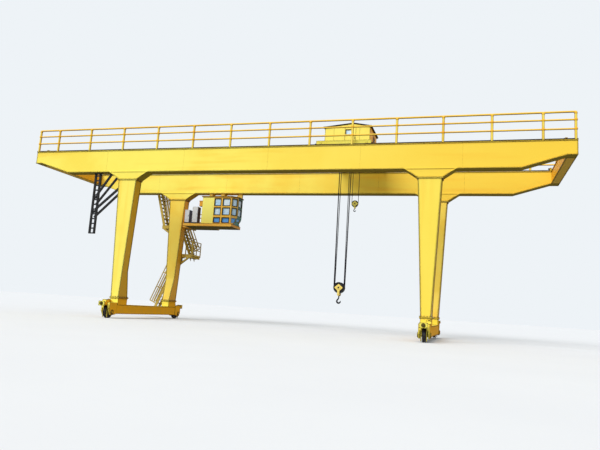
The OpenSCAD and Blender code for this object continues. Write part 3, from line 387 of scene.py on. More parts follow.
OWN_PAINT = {
    "far_girder": GOLD, "left_end_beam": END_BEAM, "right_end_beam": END_BEAM,
    "near_left_leg": LEG_LEMON, "near_right_leg": LEG_LEMON,
    "far_left_leg": LEG_GOLD, "far_right_leg": LEG_GOLD,
    "left_carriage": CARRIAGE, "right_carriage": CARRIAGE, "travel_drives": CARRIAGE,
    "lower_stair_sides": STAIR, "middle_stair_sides": STAIR, "upper_stair_sides": STAIR,
    "stair_landings": STAIR, "cab_platform": PLATFORM, "cab_frame": CAB, "cab_roof": PLATFORM,
    "cab_hangers": STAIR, "junction_box": ORANGE, "hoist_house": HOUSE, "house_roof": HOUSE,
    "trolley_frame": PLATE, "main_block_cheeks": BLOCK, "aux_block_cheeks": AUX_BLOCK_LIT,
}
for row in frame["record"]["subparts"]:
    paint = OWN_PAINT.get(row["node"], MATERIALS[row["material_slot"]])
    nodes[row["node"]].data.materials.clear()
    nodes[row["node"]].data.materials.append(paint)


# Shapes

# A laid rope's rings: how far apart, in radii, and how far each turns on from the last
ROPE_STEP = 3.0
ROPE_TWIST = 0.45
POINTS_PER_STRAND = 4


def round_points(radius, count):
    """Points evenly round a circle, anticlockwise."""
    turn = 2 * math.pi / count
    return [(radius * math.cos(i * turn), radius * math.sin(i * turn)) for i in range(count)]


def skin(rings, sides, closed=False):
    """Faces between rings of points, with a cap at each end unless the last ring meets the first."""
    faces = [[a * sides + k, a * sides + (k + 1) % sides, b * sides + (k + 1) % sides, b * sides + k]
             for a in range(rings if closed else rings - 1)
             for b in [(a + 1) % rings] for k in range(sides)]
    if not closed:
        faces += [list(range(sides))[::-1], list(range((rings - 1) * sides, rings * sides))]
    return faces


def toward(at, axis):
    """Where a drawing's origin goes and which way its Z points."""
    return Matrix.Translation(Vector(at)) @ Vector(axis).to_track_quat("Z", "Y").to_matrix().to_4x4()


class Shape:
    """Collects vertices and faces from simple forms, for one mesh."""

    def __init__(self):
        self.points = []
        self.faces = []

    def add(self, points, faces, at=None):
        """Points, moved by a matrix where there is one, and faces that count from the first."""
        start = len(self.points)
        self.points += [at @ Vector(p) if at else Vector(p) for p in points]
        self.faces += [[start + i for i in face] for face in faces]

    def box(self, p, q, at=None):
        """A block between two opposite corners."""
        (x0, x1), (y0, y1), (z0, z1) = [sorted(pair) for pair in zip(p, q)]
        self.prism([(x0, y0), (x1, y0), (x1, y1), (x0, y1)], z0, z1, at)

    def prism(self, outline, z0, z1, at=None):
        """An outline in X and Y, anticlockwise, raised from z0 to z1."""
        n = len(outline)
        sides = [[i, (i + 1) % n, n + (i + 1) % n, n + i] for i in range(n)]
        self.add([(x, y, z) for z in (z0, z1) for x, y in outline],
                 [list(range(n))[::-1], list(range(n, 2 * n))] + sides, at)

    def disc(self, radius, z0, z1, at=None, sides=24):
        self.prism(round_points(radius, sides), z0, z1, at)

    def lathe(self, profile, at=None, sides=24, closed=False):
        """A profile of radius and height, turned about Z. A closed one is a ring."""
        self.add([(x, y, z) for r, z in profile for x, y in round_points(r, sides)],
                 skin(len(profile), sides, closed), at)

    def ball(self, centre, radius, sides=12, rings=7):
        profile = [(max(radius * math.sin(math.pi * k / rings), radius * 0.02),
                    -radius * math.cos(math.pi * k / rings)) for k in range(rings + 1)]
        self.lathe(profile, Matrix.Translation(Vector(centre)), sides)

    def tube(self, path, radius, sides=10, closed=False):
        """A round bar along a path of points, mitred at its bends."""
        path = [Vector(p) for p in path]
        n = len(path)
        side = None
        rings = []
        for i, point in enumerate(path):
            before = path[i - 1] if closed or i else point
            after = path[(i + 1) % n] if closed or i < n - 1 else point
            along = (after - before).normalized()
            if side is None:
                side = along.orthogonal().normalized()
            side = (side - along * side.dot(along)).normalized()
            other = along.cross(side)
            rings += [point + x * side + y * other for x, y in round_points(radius, sides)]
        self.add(rings, skin(n, sides, closed))

    def rope(self, p, q, radius, strands=6):
        """A laid rope from p to q: round strands that wind about its core."""
        along = (q - p).normalized()
        side = along.orthogonal().normalized()
        other = along.cross(side)
        sides = strands * POINTS_PER_STRAND
        count = max(2, round((q - p).length / (radius * ROPE_STEP)))
        rings = []
        for i in range(count + 1):
            twist = i * ROPE_TWIST
            for k in range(sides):
                a = 2 * math.pi * k / sides
                r = radius * (0.86 + 0.14 * abs(math.cos(a * strands / 2)))
                rings.append(p.lerp(q, i / count) + r * (math.cos(a + twist) * side
                                                         + math.sin(a + twist) * other))
        self.add(rings, skin(count + 1, sides))

    def bolt(self, at, axis, across=0.04):
        """A hexagon head on its washer, standing on a face, with a chamfered top."""
        spot = toward(at, axis)
        self.disc(across * 0.66, 0, across * 0.12, spot, sides=12)
        r = across / math.sqrt(3)
        self.lathe([(r, across * 0.12), (r, across * 0.6), (r * 0.84, across * 0.7)], spot, sides=6)

    def row(self, p, q, count, axis, across=0.04):
        """Bolts from p to q at even distances."""
        p, q = Vector(p), Vector(q)
        for i in range(count):
            self.bolt(p.lerp(q, i / (count - 1)), axis, across)

    def ring_of_bolts(self, centre, axis, radius, count, across=0.04):
        spot = toward(centre, axis)
        for x, y in round_points(radius, count):
            self.bolt(spot @ Vector((x, y, 0)), axis, across)

    def frame_bars(self, at, width, height, bar, depth):
        """Four mitred bars round an opening of that size, on the drawing's XY plane."""
        w, h = width / 2, height / 2
        inner = [(-w, -h), (w, -h), (w, h), (-w, h)]
        outer = [(x * (1 + bar / w), y * (1 + bar / h)) for x, y in inner]
        self.holed_plate(outer, inner, depth, at)

    def holed_plate(self, outer, inner, depth, at):
        """A flat plate between two outlines with as many points, both anticlockwise."""
        n = len(outer)
        pairs = [(i, (i + 1) % n) for i in range(n)]
        self.add([(x, y, z) for z in (0, depth) for line in (outer, inner) for x, y in line],
                 [[n + i, n + j, j, i] for i, j in pairs]
                 + [[2 * n + i, 2 * n + j, 3 * n + j, 3 * n + i] for i, j in pairs]
                 + [[i, j, 2 * n + j, 2 * n + i] for i, j in pairs]
                 + [[n + j, n + i, 3 * n + i, 3 * n + j] for i, j in pairs], at)


SMOOTH_BELOW = math.radians(38)


def piece(name, shape, paint=None, slot="yellow_paint", body="structure", bevel=0.0):
    """A shape as an object, in its own paint or its slot's, on its body where it has one."""
    mesh = bpy.data.meshes.new(name)
    mesh.from_pydata([tuple(p) for p in shape.points], [], shape.faces)
    mesh.polygons.foreach_set("use_smooth", [True] * len(mesh.polygons))
    mesh.set_sharp_from_angle(angle=SMOOTH_BELOW)
    made = bpy.data.objects.new(name, mesh)
    scene.collection.objects.link(made)
    mesh.materials.append(paint or MATERIALS[slot])
    if bevel:
        cut = made.modifiers.new("bevel", "BEVEL")
        cut.width, cut.segments, cut.limit_method = bevel, 2, "ANGLE"
        cut.angle_limit = SMOOTH_BELOW
    if body:
        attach(made, body)
    return made


# Railings: round tubes with ball joints

RAIL_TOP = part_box("near_railing")[1].z
RAIL_HEIGHTS = [TOP + share * (RAIL_TOP - TOP) for share in (0.37, 0.69)]
RAIL_Y = GIRDER_Y + FLANGE - 0.05
TOP_RAIL_R, RAIL_R, RAIL_END_R, POST_R, BALL_R = 0.052, 0.045, 0.05, 0.066, 0.094
POST_PITCH = 2.4
FOOT_HALF, FOOT_T = 0.1, 0.014
END_POST = HALF_LEN - FOOT_HALF
GATE = (-12.15, -11.3)


def make_railing(side):
    """Rails, posts and ball joints along one girder. The far railing has a gate at the stair."""
    rails, posts, joints, feet = Shape(), Shape(), Shape(), Shape()
    y = side * RAIL_Y
    spots = [-END_POST] + [i * POST_PITCH for i in range(-6, 7)] + [END_POST]
    runs = [(-END_POST, END_POST)]
    if side > 0:
        spots = sorted([x for x in spots if not GATE[0] < x < GATE[1]] + list(GATE))
        runs = [(-END_POST, GATE[0]), (GATE[1], END_POST)]
    for a, b in runs:
        rails.tube([(a, y, RAIL_TOP - TOP_RAIL_R), (b, y, RAIL_TOP - TOP_RAIL_R)], TOP_RAIL_R, 14)
        for z in RAIL_HEIGHTS:
            rails.tube([(a, y, z), (b, y, z)], RAIL_R, 14)
        for x in (a, b):
            rails.ball((x, y, RAIL_TOP - RAIL_END_R), RAIL_END_R, 14, 8)
    for x in spots:
        posts.tube([(x, y, TOP + 0.01), (x, y, RAIL_TOP - RAIL_END_R)], POST_R, 16)
        joints.lathe([(0.082, 0), (0.082, 0.04), (0.072, 0.055)],
                     Matrix.Translation((x, y, RAIL_TOP - 0.14)), 16)
        for z in RAIL_HEIGHTS:
            joints.ball((x, y, z), BALL_R, 16, 9)
        feet.box((x - FOOT_HALF, y - 0.05, TOP), (x + FOOT_HALF, y + 0.05, TOP + FOOT_T))
        feet.lathe([(0.074, FOOT_T), (0.064, 0.05)], Matrix.Translation((x, y, TOP)), 16)
        for dx in (-0.084, 0.084):
            for dy in (-0.03, 0.03):
                feet.bolt((x + dx, y + dy, TOP + FOOT_T), (0, 0, 1), 0.02)
    name = "near" if side < 0 else "far"
    made = piece(name + "_rails", rails, RAIL)
    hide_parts(name + "_railing")
    piece(name + "_posts", posts, POST)
    piece(name + "_ball_joints", joints, CLAMP)
    piece(name + "_post_feet", feet, POST)


for side in (-1, 1):
    make_railing(side)


# Girders: toe boards, weld seams, joint bolts and tread plate

SOFFIT_END = 13.4
SEAM_IN, SEAM_R, BUTT_R = 0.04, 0.009, 0.006
BUTT_PITCH = 5.3
HEAD_HALF, HEAD_DEPTH = 0.62, 0.58
LEG_FOOT_HALF, LEG_FOOT_DEPTH = 0.27, 0.92
JOINT_T = 0.04
BOLT_OUT, BOLT_IN = 0.0225, 0.04
PLATE_LENGTH, PLATE_GAP = 1.9, 0.02
WALK_INNER, WALK_OUTER = GIRDER_Y - 0.035, GIRDER_Y + 0.22


def make_girder_trim():
    """Toe boards, seams where webs meet flanges, and seams where lengths of girder meet."""
    boards, seams, butts = Shape(), Shape(), Shape()
    low, high = SOFFIT + SEAM_IN, TOP - SEAM_IN
    for side in (-1, 1):
        outer = side * (GIRDER_Y + FLANGE)
        boards.box((-HALF_LEN, outer, TOP), (HALF_LEN, outer - side * 0.005, TOP + 0.055))
        for face in (-1, 1):
            y = side * GIRDER_Y + face * WEB
            seams.tube([(-HALF_LEN + 0.01, y, high), (HALF_LEN - 0.01, y, high)], SEAM_R, 6)
            for x0, x1 in ((-LEG_X + HAUNCH_HALF, LEG_X - HAUNCH_HALF),
                           (-SOFFIT_END, -LEG_X - HAUNCH_HALF), (LEG_X + HAUNCH_HALF, SOFFIT_END)):
                seams.tube([(x0, y, low), (x1, y, low)], SEAM_R, 6)
            for k in range(-2, 3):
                x = k * BUTT_PITCH
                butts.tube([(x, y, low + 0.005), (x, y, high - 0.005)], BUTT_R, 6)
    piece("girder_toe_boards", boards, LINE)
    piece("girder_weld_seams", seams, LINE)
    piece("girder_butt_seams", butts, GOLD)


def make_joint_bolts():
    """Bolts under the flanges at the legs' heads, and over and under those at their feet."""
    bolts = Shape()
    for side in (-1, 1):
        for sx in (-1, 1):
            x0, x1, z = sx * LEG_X - HEAD_HALF, sx * LEG_X + HEAD_HALF, HEAD - JOINT_T
            for y, across in ((LEG_OUTER + 0.0175, 0.03), (LEG_OUTER - HEAD_DEPTH - BOLT_OUT, 0.036)):
                bolts.row((x0, side * y, z), (x1, side * y, z), 9, (0, 0, -1), across)
            y0, y1 = side * (LEG_OUTER - HEAD_DEPTH + BOLT_IN), side * (LEG_OUTER - BOLT_IN)
            for x in (x0 - BOLT_OUT, x1 + BOLT_OUT):
                bolts.row((x, y0, z), (x, y1, z), 5, (0, 0, -1), 0.036)
            x0, x1 = sx * LEG_X - LEG_FOOT_HALF, sx * LEG_X + LEG_FOOT_HALF
            y0 = side * (LEG_OUTER - LEG_FOOT_DEPTH + BOLT_IN)
            for z, way in ((FOOT + JOINT_T, 1), (FOOT - JOINT_T, -1)):
                for y in (LEG_OUTER + BOLT_OUT, LEG_OUTER - LEG_FOOT_DEPTH - BOLT_OUT):
                    bolts.row((x0 + 0.03, side * y, z), (x1 - 0.03, side * y, z), 4, (0, 0, way))
                for x in (x0 - BOLT_OUT, x1 + BOLT_OUT):
                    bolts.row((x, y0, z), (x, y1, z), 6, (0, 0, way))
    piece("joint_bolts", bolts, BOLT, "track_steel")


def make_walk_plates():
    """Tread plate beside the trolley's rail, in lengths with a gap between, up to the post feet."""
    plates = Shape()
    count = int(2 * HALF_LEN / PLATE_LENGTH)
    for side in (-1, 1):
        for i in range(count):
            x0 = (i - count / 2) * PLATE_LENGTH + PLATE_GAP / 2
            plates.box((x0, side * WALK_INNER, TOP),
                       (x0 + PLATE_LENGTH - PLATE_GAP, side * WALK_OUTER, TOP + 0.005))
    piece("walk_plates", plates, DECK)


make_girder_trim()
make_joint_bolts()
make_walk_plates()


# Trolley rails: rail section, clips and end stops

track_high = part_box("trolley_tracks")[1]
STOP_HALF, STOP_LENGTH, STOP_H = 0.1, 0.12, 0.22
TRACK_Y = track_high.y - STOP_HALF
TRACK_HALF = track_high.x - STOP_LENGTH - SEAT_GAP
RIGHT_OF_RAIL = [(0.06, 0), (0.06, 0.012), (0.016, 0.026), (0.011, 0.066), (0.033, 0.076),
                 (0.033, 0.094), (0.027, 0.1)]
CLIPS, CLIP_T = 51, 0.022


def make_tracks():
    """A rail on each girder, held by bolted clips, with a ribbed stop and a pad at each end."""
    rails, clips, stops, pads = Shape(), Shape(), Shape(), Shape()
    section = RIGHT_OF_RAIL + [(-x, z) for x, z in reversed(RIGHT_OF_RAIL)]
    for side in (-1, 1):
        y = side * TRACK_Y
        along = Matrix(((0, 0, 1, -TRACK_HALF), (1, 0, 0, y), (0, 1, 0, TOP), (0, 0, 0, 1)))
        rails.prism(section, 0, 2 * TRACK_HALF, along)
        for i in range(CLIPS):
            x = (TRACK_HALF - 0.2) * (2 * i / (CLIPS - 1) - 1)
            for face in (-1, 1):
                clips.box((x - 0.04, y + face * 0.045, TOP), (x + 0.04, y + face * 0.105, TOP + CLIP_T))
                clips.bolt((x, y + face * 0.085, TOP + CLIP_T), (0, 0, 1), 0.022)
        for end in (-1, 1):
            x0 = end * (TRACK_HALF + SEAT_GAP)
            x1 = x0 + end * STOP_LENGTH
            stops.box((x0, y - STOP_HALF, TOP), (x1, y + STOP_HALF, TOP + STOP_H))
            stops.prism([(0, 0), (0.16, 0), (0, 0.14)], -0.01, 0.01,
                        Matrix(((end, 0, 0, x1), (0, 0, 1, y), (0, 1, 0, TOP), (0, 0, 0, 1))))
            pads.lathe([(0.05, 0), (0.05, 0.03), (0.04, 0.06), (0.04, 0.075)],
                       toward((x0, y, TOP + 0.165), (-end, 0, 0)), 16)
    made = piece("trolley_rails", rails, slot="track_steel")
    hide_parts("trolley_tracks")
    piece("rail_clips", clips, BOLT, "track_steel")
    piece("end_stops", stops, GOLD, bevel=0.006)
    piece("end_stop_pads", pads, MATERIALS["black_paint"], "buffer_rubber")


make_tracks()


# Carriages: buffers, wheel bearings and travel drives, with their bolts in one piece

buffer_low, buffer_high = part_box("travel_buffers")
wheel_low, wheel_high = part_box("far_right_wheel")
BUFFER_R, BUFFER_LEN = 0.07, 0.13
BUFFER_Z = (buffer_low.z + buffer_high.z) / 2
BUFFER_BACK = buffer_high.y - BUFFER_LEN
FACE_PLATE_T = 0.008
AXLE_Y = (wheel_low.y + wheel_high.y) / 2
WHEEL_R = 0.35
BOSS_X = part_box("right_carriage")[1].x - LEG_X
CASE_TOP, LID_TOP = 1.05, 1.062
MOTOR_Z = 0.983
FINS = 20


def clamp(value, limit):
    return max(-limit, min(limit, value))


def make_buffers(bolts):
    """A bellows on each buffer, a ring at its root and its face plate."""
    buffers, rings, plates = Shape(), Shape(), Shape()
    bellows = [(BUFFER_R, 0.012)]
    for k in range(3):
        z = 0.012 + k * 0.032
        bellows += [(BUFFER_R, z + 0.006), (BUFFER_R - 0.014, z + 0.016), (BUFFER_R, z + 0.026)]
    bellows += [(BUFFER_R, BUFFER_LEN - 0.01), (BUFFER_R - 0.015, BUFFER_LEN)]
    hole = round_points(0.1, 16)
    rim = [(clamp(x, 0.2), clamp(y, 0.135)) for x, y in round_points(0.36, 16)]
    for sx, sy in CORNERS:
        x = sx * LEG_X
        out = toward((x, sy * BUFFER_BACK, BUFFER_Z), (0, sy, 0))
        buffers.lathe(bellows, out)
        rings.lathe([(0.094, 0), (0.094, 0.014), (0.074, 0.018), (0.074, 0)], out, closed=True)
        plates.holed_plate(rim, hole, FACE_PLATE_T, out)
        for dx in (-0.165, 0.165):
            for dz in (-0.1, 0.1):
                bolts.bolt((x + dx, sy * (BUFFER_BACK + FACE_PLATE_T), BUFFER_Z + dz), (0, sy, 0), 0.03)
    made = piece("buffer_bellows", buffers, slot="buffer_rubber")
    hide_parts("travel_buffers")
    piece("buffer_rings", rings, LINE, "black_paint")
    piece("buffer_plates", plates, PLATE)


def make_bearing_caps(bolts):
    """A stepped cap with a ring of bolts on each boss of the wheel forks."""
    caps = Shape()
    for sx, sy in CORNERS:
        for face in (-1, 1):
            spot = toward((sx * LEG_X + face * BOSS_X, sy * AXLE_Y, WHEEL_R), (face, 0, 0))
            caps.lathe([(0.122, 0), (0.122, 0.008), (0.07, 0.014), (0.062, 0.028), (0.03, 0.032)], spot)
            bolts.ring_of_bolts(spot @ Vector((0, 0, 0.008)), (face, 0, 0), 0.1, 8, 0.02)
    piece("bearing_caps", caps, CARRIAGE)


def add_lid_bolts(bolts):
    for sx, sy in CORNERS:
        for dx in (0.09, 0.2, 0.31):
            for dy in (-0.12, 0.12):
                bolts.bolt((sx * (LEG_X + dx), sy * AXLE_Y + dy, LID_TOP), (0, 0, 1), 0.018)


def make_drive_trim():
    """Each gear case's lid, and its motor's fins, end cover and terminal box."""
    fins, lids = Shape(), Shape()
    for sx, sy in CORNERS:
        x, y = sx * LEG_X, sy * AXLE_Y
        lids.box((x + sx * 0.065, y - 0.14, CASE_TOP), (x + sx * 0.335, y + 0.14, LID_TOP))
        motor = toward((x + sx * 0.2, y - sy * 0.15, MOTOR_Z), (0, -sy, 0))
        for k in range(FINS):
            turn = Matrix.Rotation(2 * math.pi * k / FINS, 4, "Z")
            fins.box((0.078, -0.0025, 0.03), (0.096, 0.0025, 0.2), motor @ turn)
        fins.lathe([(0.09, 0.205), (0.09, 0.255), (0.07, 0.268)], motor)
        fins.box((-0.045, -0.045, 0.075), (0.045, 0.045, 0.12),
                 Matrix.Translation((x + sx * 0.2, y - sy * 0.26, MOTOR_Z)))
    piece("motor_fins", fins, CARRIAGE)
    piece("gear_case_lids", lids, CARRIAGE, bevel=0.004)


carriage_bolts = Shape()
make_buffers(carriage_bolts)
make_bearing_caps(carriage_bolts)
add_lid_bolts(carriage_bolts)
piece("carriage_bolts", carriage_bolts, BOLT, "track_steel")
make_drive_trim()


# Stairs: nosings on the treads and bolts at their ends

lane1_low, lane1_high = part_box("lower_stair_sides")
PLATFORM_Z, LANDING_Z = cab_low.z, lane1_high.z
LANE1, LANE2 = lane1_low.y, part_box("middle_stair_sides")[0].y
STAIR_W = lane1_high.y - lane1_low.y
FLIGHTS = [((-LEG_X - 1.69, 0.35), (-LEG_X + 0.09, LANDING_Z), LANE1, 18),
           ((-LEG_X + 0.7, LANDING_Z), (-LEG_X - 0.25, PLATFORM_Z), LANE2, 9),
           ((-LEG_X - 1.25, PLATFORM_Z), (-LEG_X - 2.35, TOP), LANE1, 13)]
TREAD_DROP, TREAD_HALF = 0.045, 0.12
STRING_IN = 0.055


def make_stair_trim():
    """A nosing and three grip bars on each tread, and bolts where it meets the flight's sides.
    The outer lane's far side is the crane's widest place, so no bolt stands past it."""
    nosings, bolts = Shape(), Shape()
    for p, q, y, count in FLIGHTS:
        way = 1 if q[0] > p[0] else -1
        y0, y1 = y + STRING_IN, y + STAIR_W - STRING_IN
        for i in range(1, count):
            x = p[0] + (q[0] - p[0]) * i / count
            z = p[1] + (q[1] - p[1]) * i / count - TREAD_DROP
            front = x - way * TREAD_HALF
            nosings.box((front, y0, z), (front + way * 0.05, y1, z + 0.006))
            for k in range(1, 4):
                bar = front + way * 0.05 * (k + 0.3)
                nosings.box((bar, y0, z), (bar + way * 0.012, y1, z + 0.004))
            for dy, face in ((0, -1),) if y == LANE2 else ((0, -1), (STAIR_W, 1)):
                for dx in (-0.06, 0.06):
                    bolts.bolt((x + dx, y + dy, z - 0.02), (0, face, 0), 0.02)
    piece("tread_nosings", nosings, POST, "tread_steel")
    piece("tread_bolts", bolts, BOLT, "track_steel")


make_stair_trim()


# Cab: pane frames, roof rim and floor edge

CORNER = 0.35
PANE_ROWS = [(0.08, 0.33), (0.61, 0.48), (1.24, 0.48)]
SIDE_PANES = [(cab_low.x + 0.92, 0.45), (cab_low.x + 1.54, 0.51)]
FRONT_PANE, CORNER_PANE = 0.56, 0.33
PANE_DEPTH = 0.05


def wall_spot(x, y, z, outward):
    """A drawing on a wall: X level, Y up and Z outward."""
    out = Vector(outward).normalized()
    up = Vector((0, 0, 1))
    level = up.cross(out)
    return Matrix.Translation((x, y, z)) @ Matrix((level, up, out)).transposed().to_4x4()


def make_panes():
    """A frame on the wall round each pane, and a gasket sunk in its opening."""
    frames, gaskets = Shape(), Shape()
    middle = (cab_low.y + cab_high.y) / 2
    corner_y = (cab_high.y - cab_low.y - CORNER) / 2
    walls = [(x + width / 2, y, (0, way, 0), width, PANE_ROWS) for x, width in SIDE_PANES
             for y, way in ((cab_low.y, -1), (cab_high.y, 1))]
    walls += [(cab_high.x, middle, (1, 0, 0), FRONT_PANE, PANE_ROWS[1:])]
    walls += [(cab_high.x - CORNER / 2, middle + side * corner_y, (1, side, 0), CORNER_PANE,
               PANE_ROWS[1:]) for side in (-1, 1)]
    for x, y, out, width, rows in walls:
        for low, height in rows:
            spot = wall_spot(x, y, cab_low.z + low + height / 2, out)
            frames.frame_bars(spot, width + 0.01, height + 0.01, 0.03, 0.012)
            gaskets.frame_bars(spot @ Matrix.Translation((0, 0, -PANE_DEPTH)), width - 0.04,
                               height - 0.04, 0.02, PANE_DEPTH - 0.005)
    piece("pane_frames", frames, PANE_LINE)
    piece("pane_gaskets", gaskets, slot="black_paint")


def make_cab_edges():
    """A bead round the roof's top and underside, and one along the platform's edge."""
    rim, sill = Shape(), Shape()
    low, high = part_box("cab_roof")
    cut_x = cab_high.x - CORNER + 0.03
    plan = [(low.x, low.y), (cut_x, low.y), (high.x, cab_low.y + CORNER), (high.x, cab_high.y - CORNER),
            (cut_x, high.y), (low.x, high.y)]
    rim.tube([(x, y, high.z - 0.012) for x, y in plan], 0.012, 8, closed=True)
    rim.tube([(x, y, low.z + 0.004) for x, y in plan], 0.01, 8, closed=True)
    floor_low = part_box("cab_platform")[0]
    edge = [(floor_low.x + 1.0, floor_low.y), (cab_high.x - 0.2, floor_low.y),
            (cab_high.x - 0.2, cab_high.y + 0.04)]
    sill.tube([(x, y, cab_low.z - 0.012) for x, y in edge], 0.012, 8)
    piece("cab_roof_rim", rim, LINE, "black_paint")
    piece("platform_edge", sill, PLATFORM)


make_panes()
make_cab_edges()


# Cabinets beside the cab: doors, louvres, side panels

CABINET_DEPTH = 0.45


def make_cabinets():
    """Two cabinets: shells with lids, louvred doors, side panels, handles and hinges."""
    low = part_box("control_cabinets")[0]
    shells, doors, sides, fittings = Shape(), Shape(), Shape(), Shape()
    y0, y1, z0 = low.y, low.y + CABINET_DEPTH, low.z
    for x, width, height in ((low.x, 0.34, 0.93), (low.x + 0.57, 0.40, 1.15)):
        top = z0 + height
        shells.box((x + 0.004, y0 + 0.02, z0), (x + width - 0.004, y1 - 0.004, top - 0.02))
        shells.box((x, y0, top - 0.02), (x + width, y1, top))
        doors.box((x + 0.012, y0 + 0.004, z0 + 0.07), (x + width - 0.012, y0 + 0.02, top - 0.03))
        for k in range(5):
            doors.prism([(-0.08, 0), (0.08, 0), (0.08, 0.018), (-0.08, 0.018)], 0, 0.006,
                        wall_spot(x + width / 2, y0 + 0.004, z0 + 0.14 + 0.035 * k, (0, -1, 0.5)))
        for face, out in ((x, -1), (x + width, 1)):
            sides.box((face, y0 + 0.012, z0 + 0.03), (face - out * 0.004, y1 - 0.02, top - 0.022))
        handle_x, handle_z = x + width - 0.05, z0 + height / 2
        fittings.tube([(handle_x, y0 - 0.004, handle_z), (handle_x, y0 - 0.004, handle_z + 0.11)],
                      0.008, 8)
        for share in (0.12, 0.88):
            fittings.lathe([(0.009, -0.03), (0.009, 0.03)],
                           Matrix.Translation((x + 0.01, y0 + 0.002, z0 + height * share)), 8)
        fittings.box((x, y0 + 0.004, z0), (x + width, y0 + 0.02, z0 + 0.06))
    made = piece("cabinet_shells", shells, slot="cabinet_grey", bevel=0.004)
    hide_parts("control_cabinets")
    piece("cabinet_doors", doors, slot="cabinet_grey")
    piece("cabinet_sides", sides, NAVY, "cabinet_grey")
    piece("cabinet_fittings", fittings, slot="black_paint")


make_cabinets()


# Hoist house: door, window frame, wall seams, roof edge and louvres

house_low, house_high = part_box("hoist_house")
RIDGE_X = (house_low.x + house_high.x) / 2 + 0.37
ROOF_STRIP, ROOF_RIB = 0.045, 0.012
LOUVRE_Y = 0.2


def make_house_walls():
    """The door's seams and handle, the window's frame, and seams and a skirt on the walls."""
    seams, handle, window = Shape(), Shape(), Shape()
    low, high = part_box("house_window")
    wx, wz = (low.x + high.x) / 2, (low.z + high.z) / 2
    front, sill = house_low.y, house_low.z
    window.frame_bars(wall_spot(wx, front, wz, (0, -1, 0)), 0.38, 0.27, 0.03, 0.012)
    door_x0, door_x1 = wx - 0.25, wx + 0.4
    for x in (door_x0, door_x1):
        seams.box((x - 0.008, front - 0.006, sill + 0.03), (x + 0.008, front, wz + 0.3))
    seams.box((door_x0, front - 0.006, wz + 0.29), (door_x1, front, wz + 0.306))
    handle.tube([(door_x1 - 0.06, front - 0.03, sill + 0.6), (door_x1 - 0.06, front - 0.03, sill + 0.78)],
                0.011, 8)
    for y, out in ((house_low.y, -1), (house_high.y, 1)):
        for x in (house_low.x + 0.55, house_low.x + 2.1):
            seams.box((x - 0.005, y, sill + 0.02), (x + 0.005, y + out * 0.004, house_high.z))
        seams.box((house_low.x, y, sill + 0.001), (house_high.x, y + out * 0.012, sill + 0.045))
    for x, out in ((house_low.x, -1), (house_high.x, 1)):
        seams.box((x, house_low.y, sill + 0.001), (x + out * 0.012, house_high.y, sill + 0.045))
    piece("house_seams", seams, LINE, body="trolley")
    piece("house_door_handle", handle, slot="black_paint", body="trolley")
    piece("house_window_frame", window, LINE, "black_paint", "trolley")


def make_house_roof():
    """Edge strips round the roof, and standing seams over it."""
    edge, ribs = Shape(), Shape()
    low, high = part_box("house_roof")
    line = [(low.x, low.z + 0.04), (RIDGE_X, high.z), (high.x, low.z + 0.04)]
    for y in (low.y, high.y):
        edge.tube([(x, y, z - ROOF_STRIP) for x, z in line], ROOF_STRIP, 8)
    for x in (low.x, high.x):
        edge.tube([(x, low.y, low.z + 0.01), (x, high.y, low.z + 0.01)], ROOF_STRIP, 8)
    for i in range(1, 6):
        y = low.y + (high.y - low.y) * i / 6
        ribs.tube([(x, y, z - ROOF_RIB) for x, z in line], ROOF_RIB, 6)
    piece("house_roof_edge", edge, LINE, "black_paint", "trolley")
    piece("house_roof_ribs", ribs, HOUSE, body="trolley")


def make_louvres():
    louvres = Shape()
    for x, out in ((house_low.x, -1), (house_high.x, 1)):
        for k in range(9):
            louvres.prism([(-0.3, 0), (0.3, 0), (0.3, 0.028), (-0.3, 0.028)], 0, 0.008,
                          wall_spot(x + out * 0.004, LOUVRE_Y, house_low.z + 0.62 + 0.05 * k,
                                    (out, 0, 0.6)))
        louvres.frame_bars(wall_spot(x, LOUVRE_Y, house_low.z + 0.84, (out, 0, 0)), 0.64, 0.52, 0.03,
                           0.016)
    piece("house_louvres", louvres, ORANGE, body="trolley")


make_house_walls()
make_house_roof()
make_louvres()


# Trolley: end buffers, bearing caps and deck bolts

def make_trolley_trim():
    """Caps on the wheels' bearings, buffers at the ends of both trucks, bolts along the deck."""
    caps, bolts, pads = Shape(), Shape(), Shape()
    low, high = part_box("trolley_frame")
    tread_low, tread_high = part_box("trolley_wheels")
    wheel_r = (tread_high.z - tread_low.z) / 2
    deck = house_low.z
    for side in (-1, 1):
        for x in (tread_low.x + wheel_r, tread_high.x - wheel_r):
            for face in (-1, 1):
                cap = toward((x, side * TRACK_Y + face * 0.12, tread_low.z + wheel_r), (0, face, 0))
                caps.lathe([(0.06, 0), (0.06, 0.012), (0.045, 0.02)], cap, 16)
                bolts.ring_of_bolts(cap @ Vector((0, 0, 0.012)), (0, face, 0), 0.045, 4, 0.014)
        for end, x in ((-1, low.x), (1, high.x)):
            pads.lathe([(0.05, 0), (0.05, 0.02), (0.038, 0.03), (0.05, 0.05), (0.038, 0.07), (0.045, 0.09)],
                       toward((x, side * TRACK_Y, TOP + 0.2), (end, 0, 0)), 16)
        y = side * (house_high.y + 0.04)
        bolts.row((low.x + 0.1, y, deck), (high.x - 0.1, y, deck), 12, (0, 0, 1), 0.03)
    piece("truck_bearing_caps", caps, PLATE, body="trolley")
    piece("trolley_bolts", bolts, BOLT, "track_steel", "trolley")
    piece("trolley_buffers", pads, MATERIALS["black_paint"], "buffer_rubber", "trolley")


make_trolley_trim()


# Ropes: straight falls, turns on the drums and under the sheaves

def hoist(name, radius, rope, rows, fan, drum):
    """A hoist's sizes, and its place from the frame. rows are its sheaves' places along Y, and fan
    holds the places along Y of its left and right falls at the drum."""
    low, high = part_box(name + "_ropes")
    return SimpleNamespace(name=name, x=(low.x + high.x) / 2, pin=low.z, top=high.z, r=radius,
                           rope=rope, rows=rows, fan=fan, drum=drum)


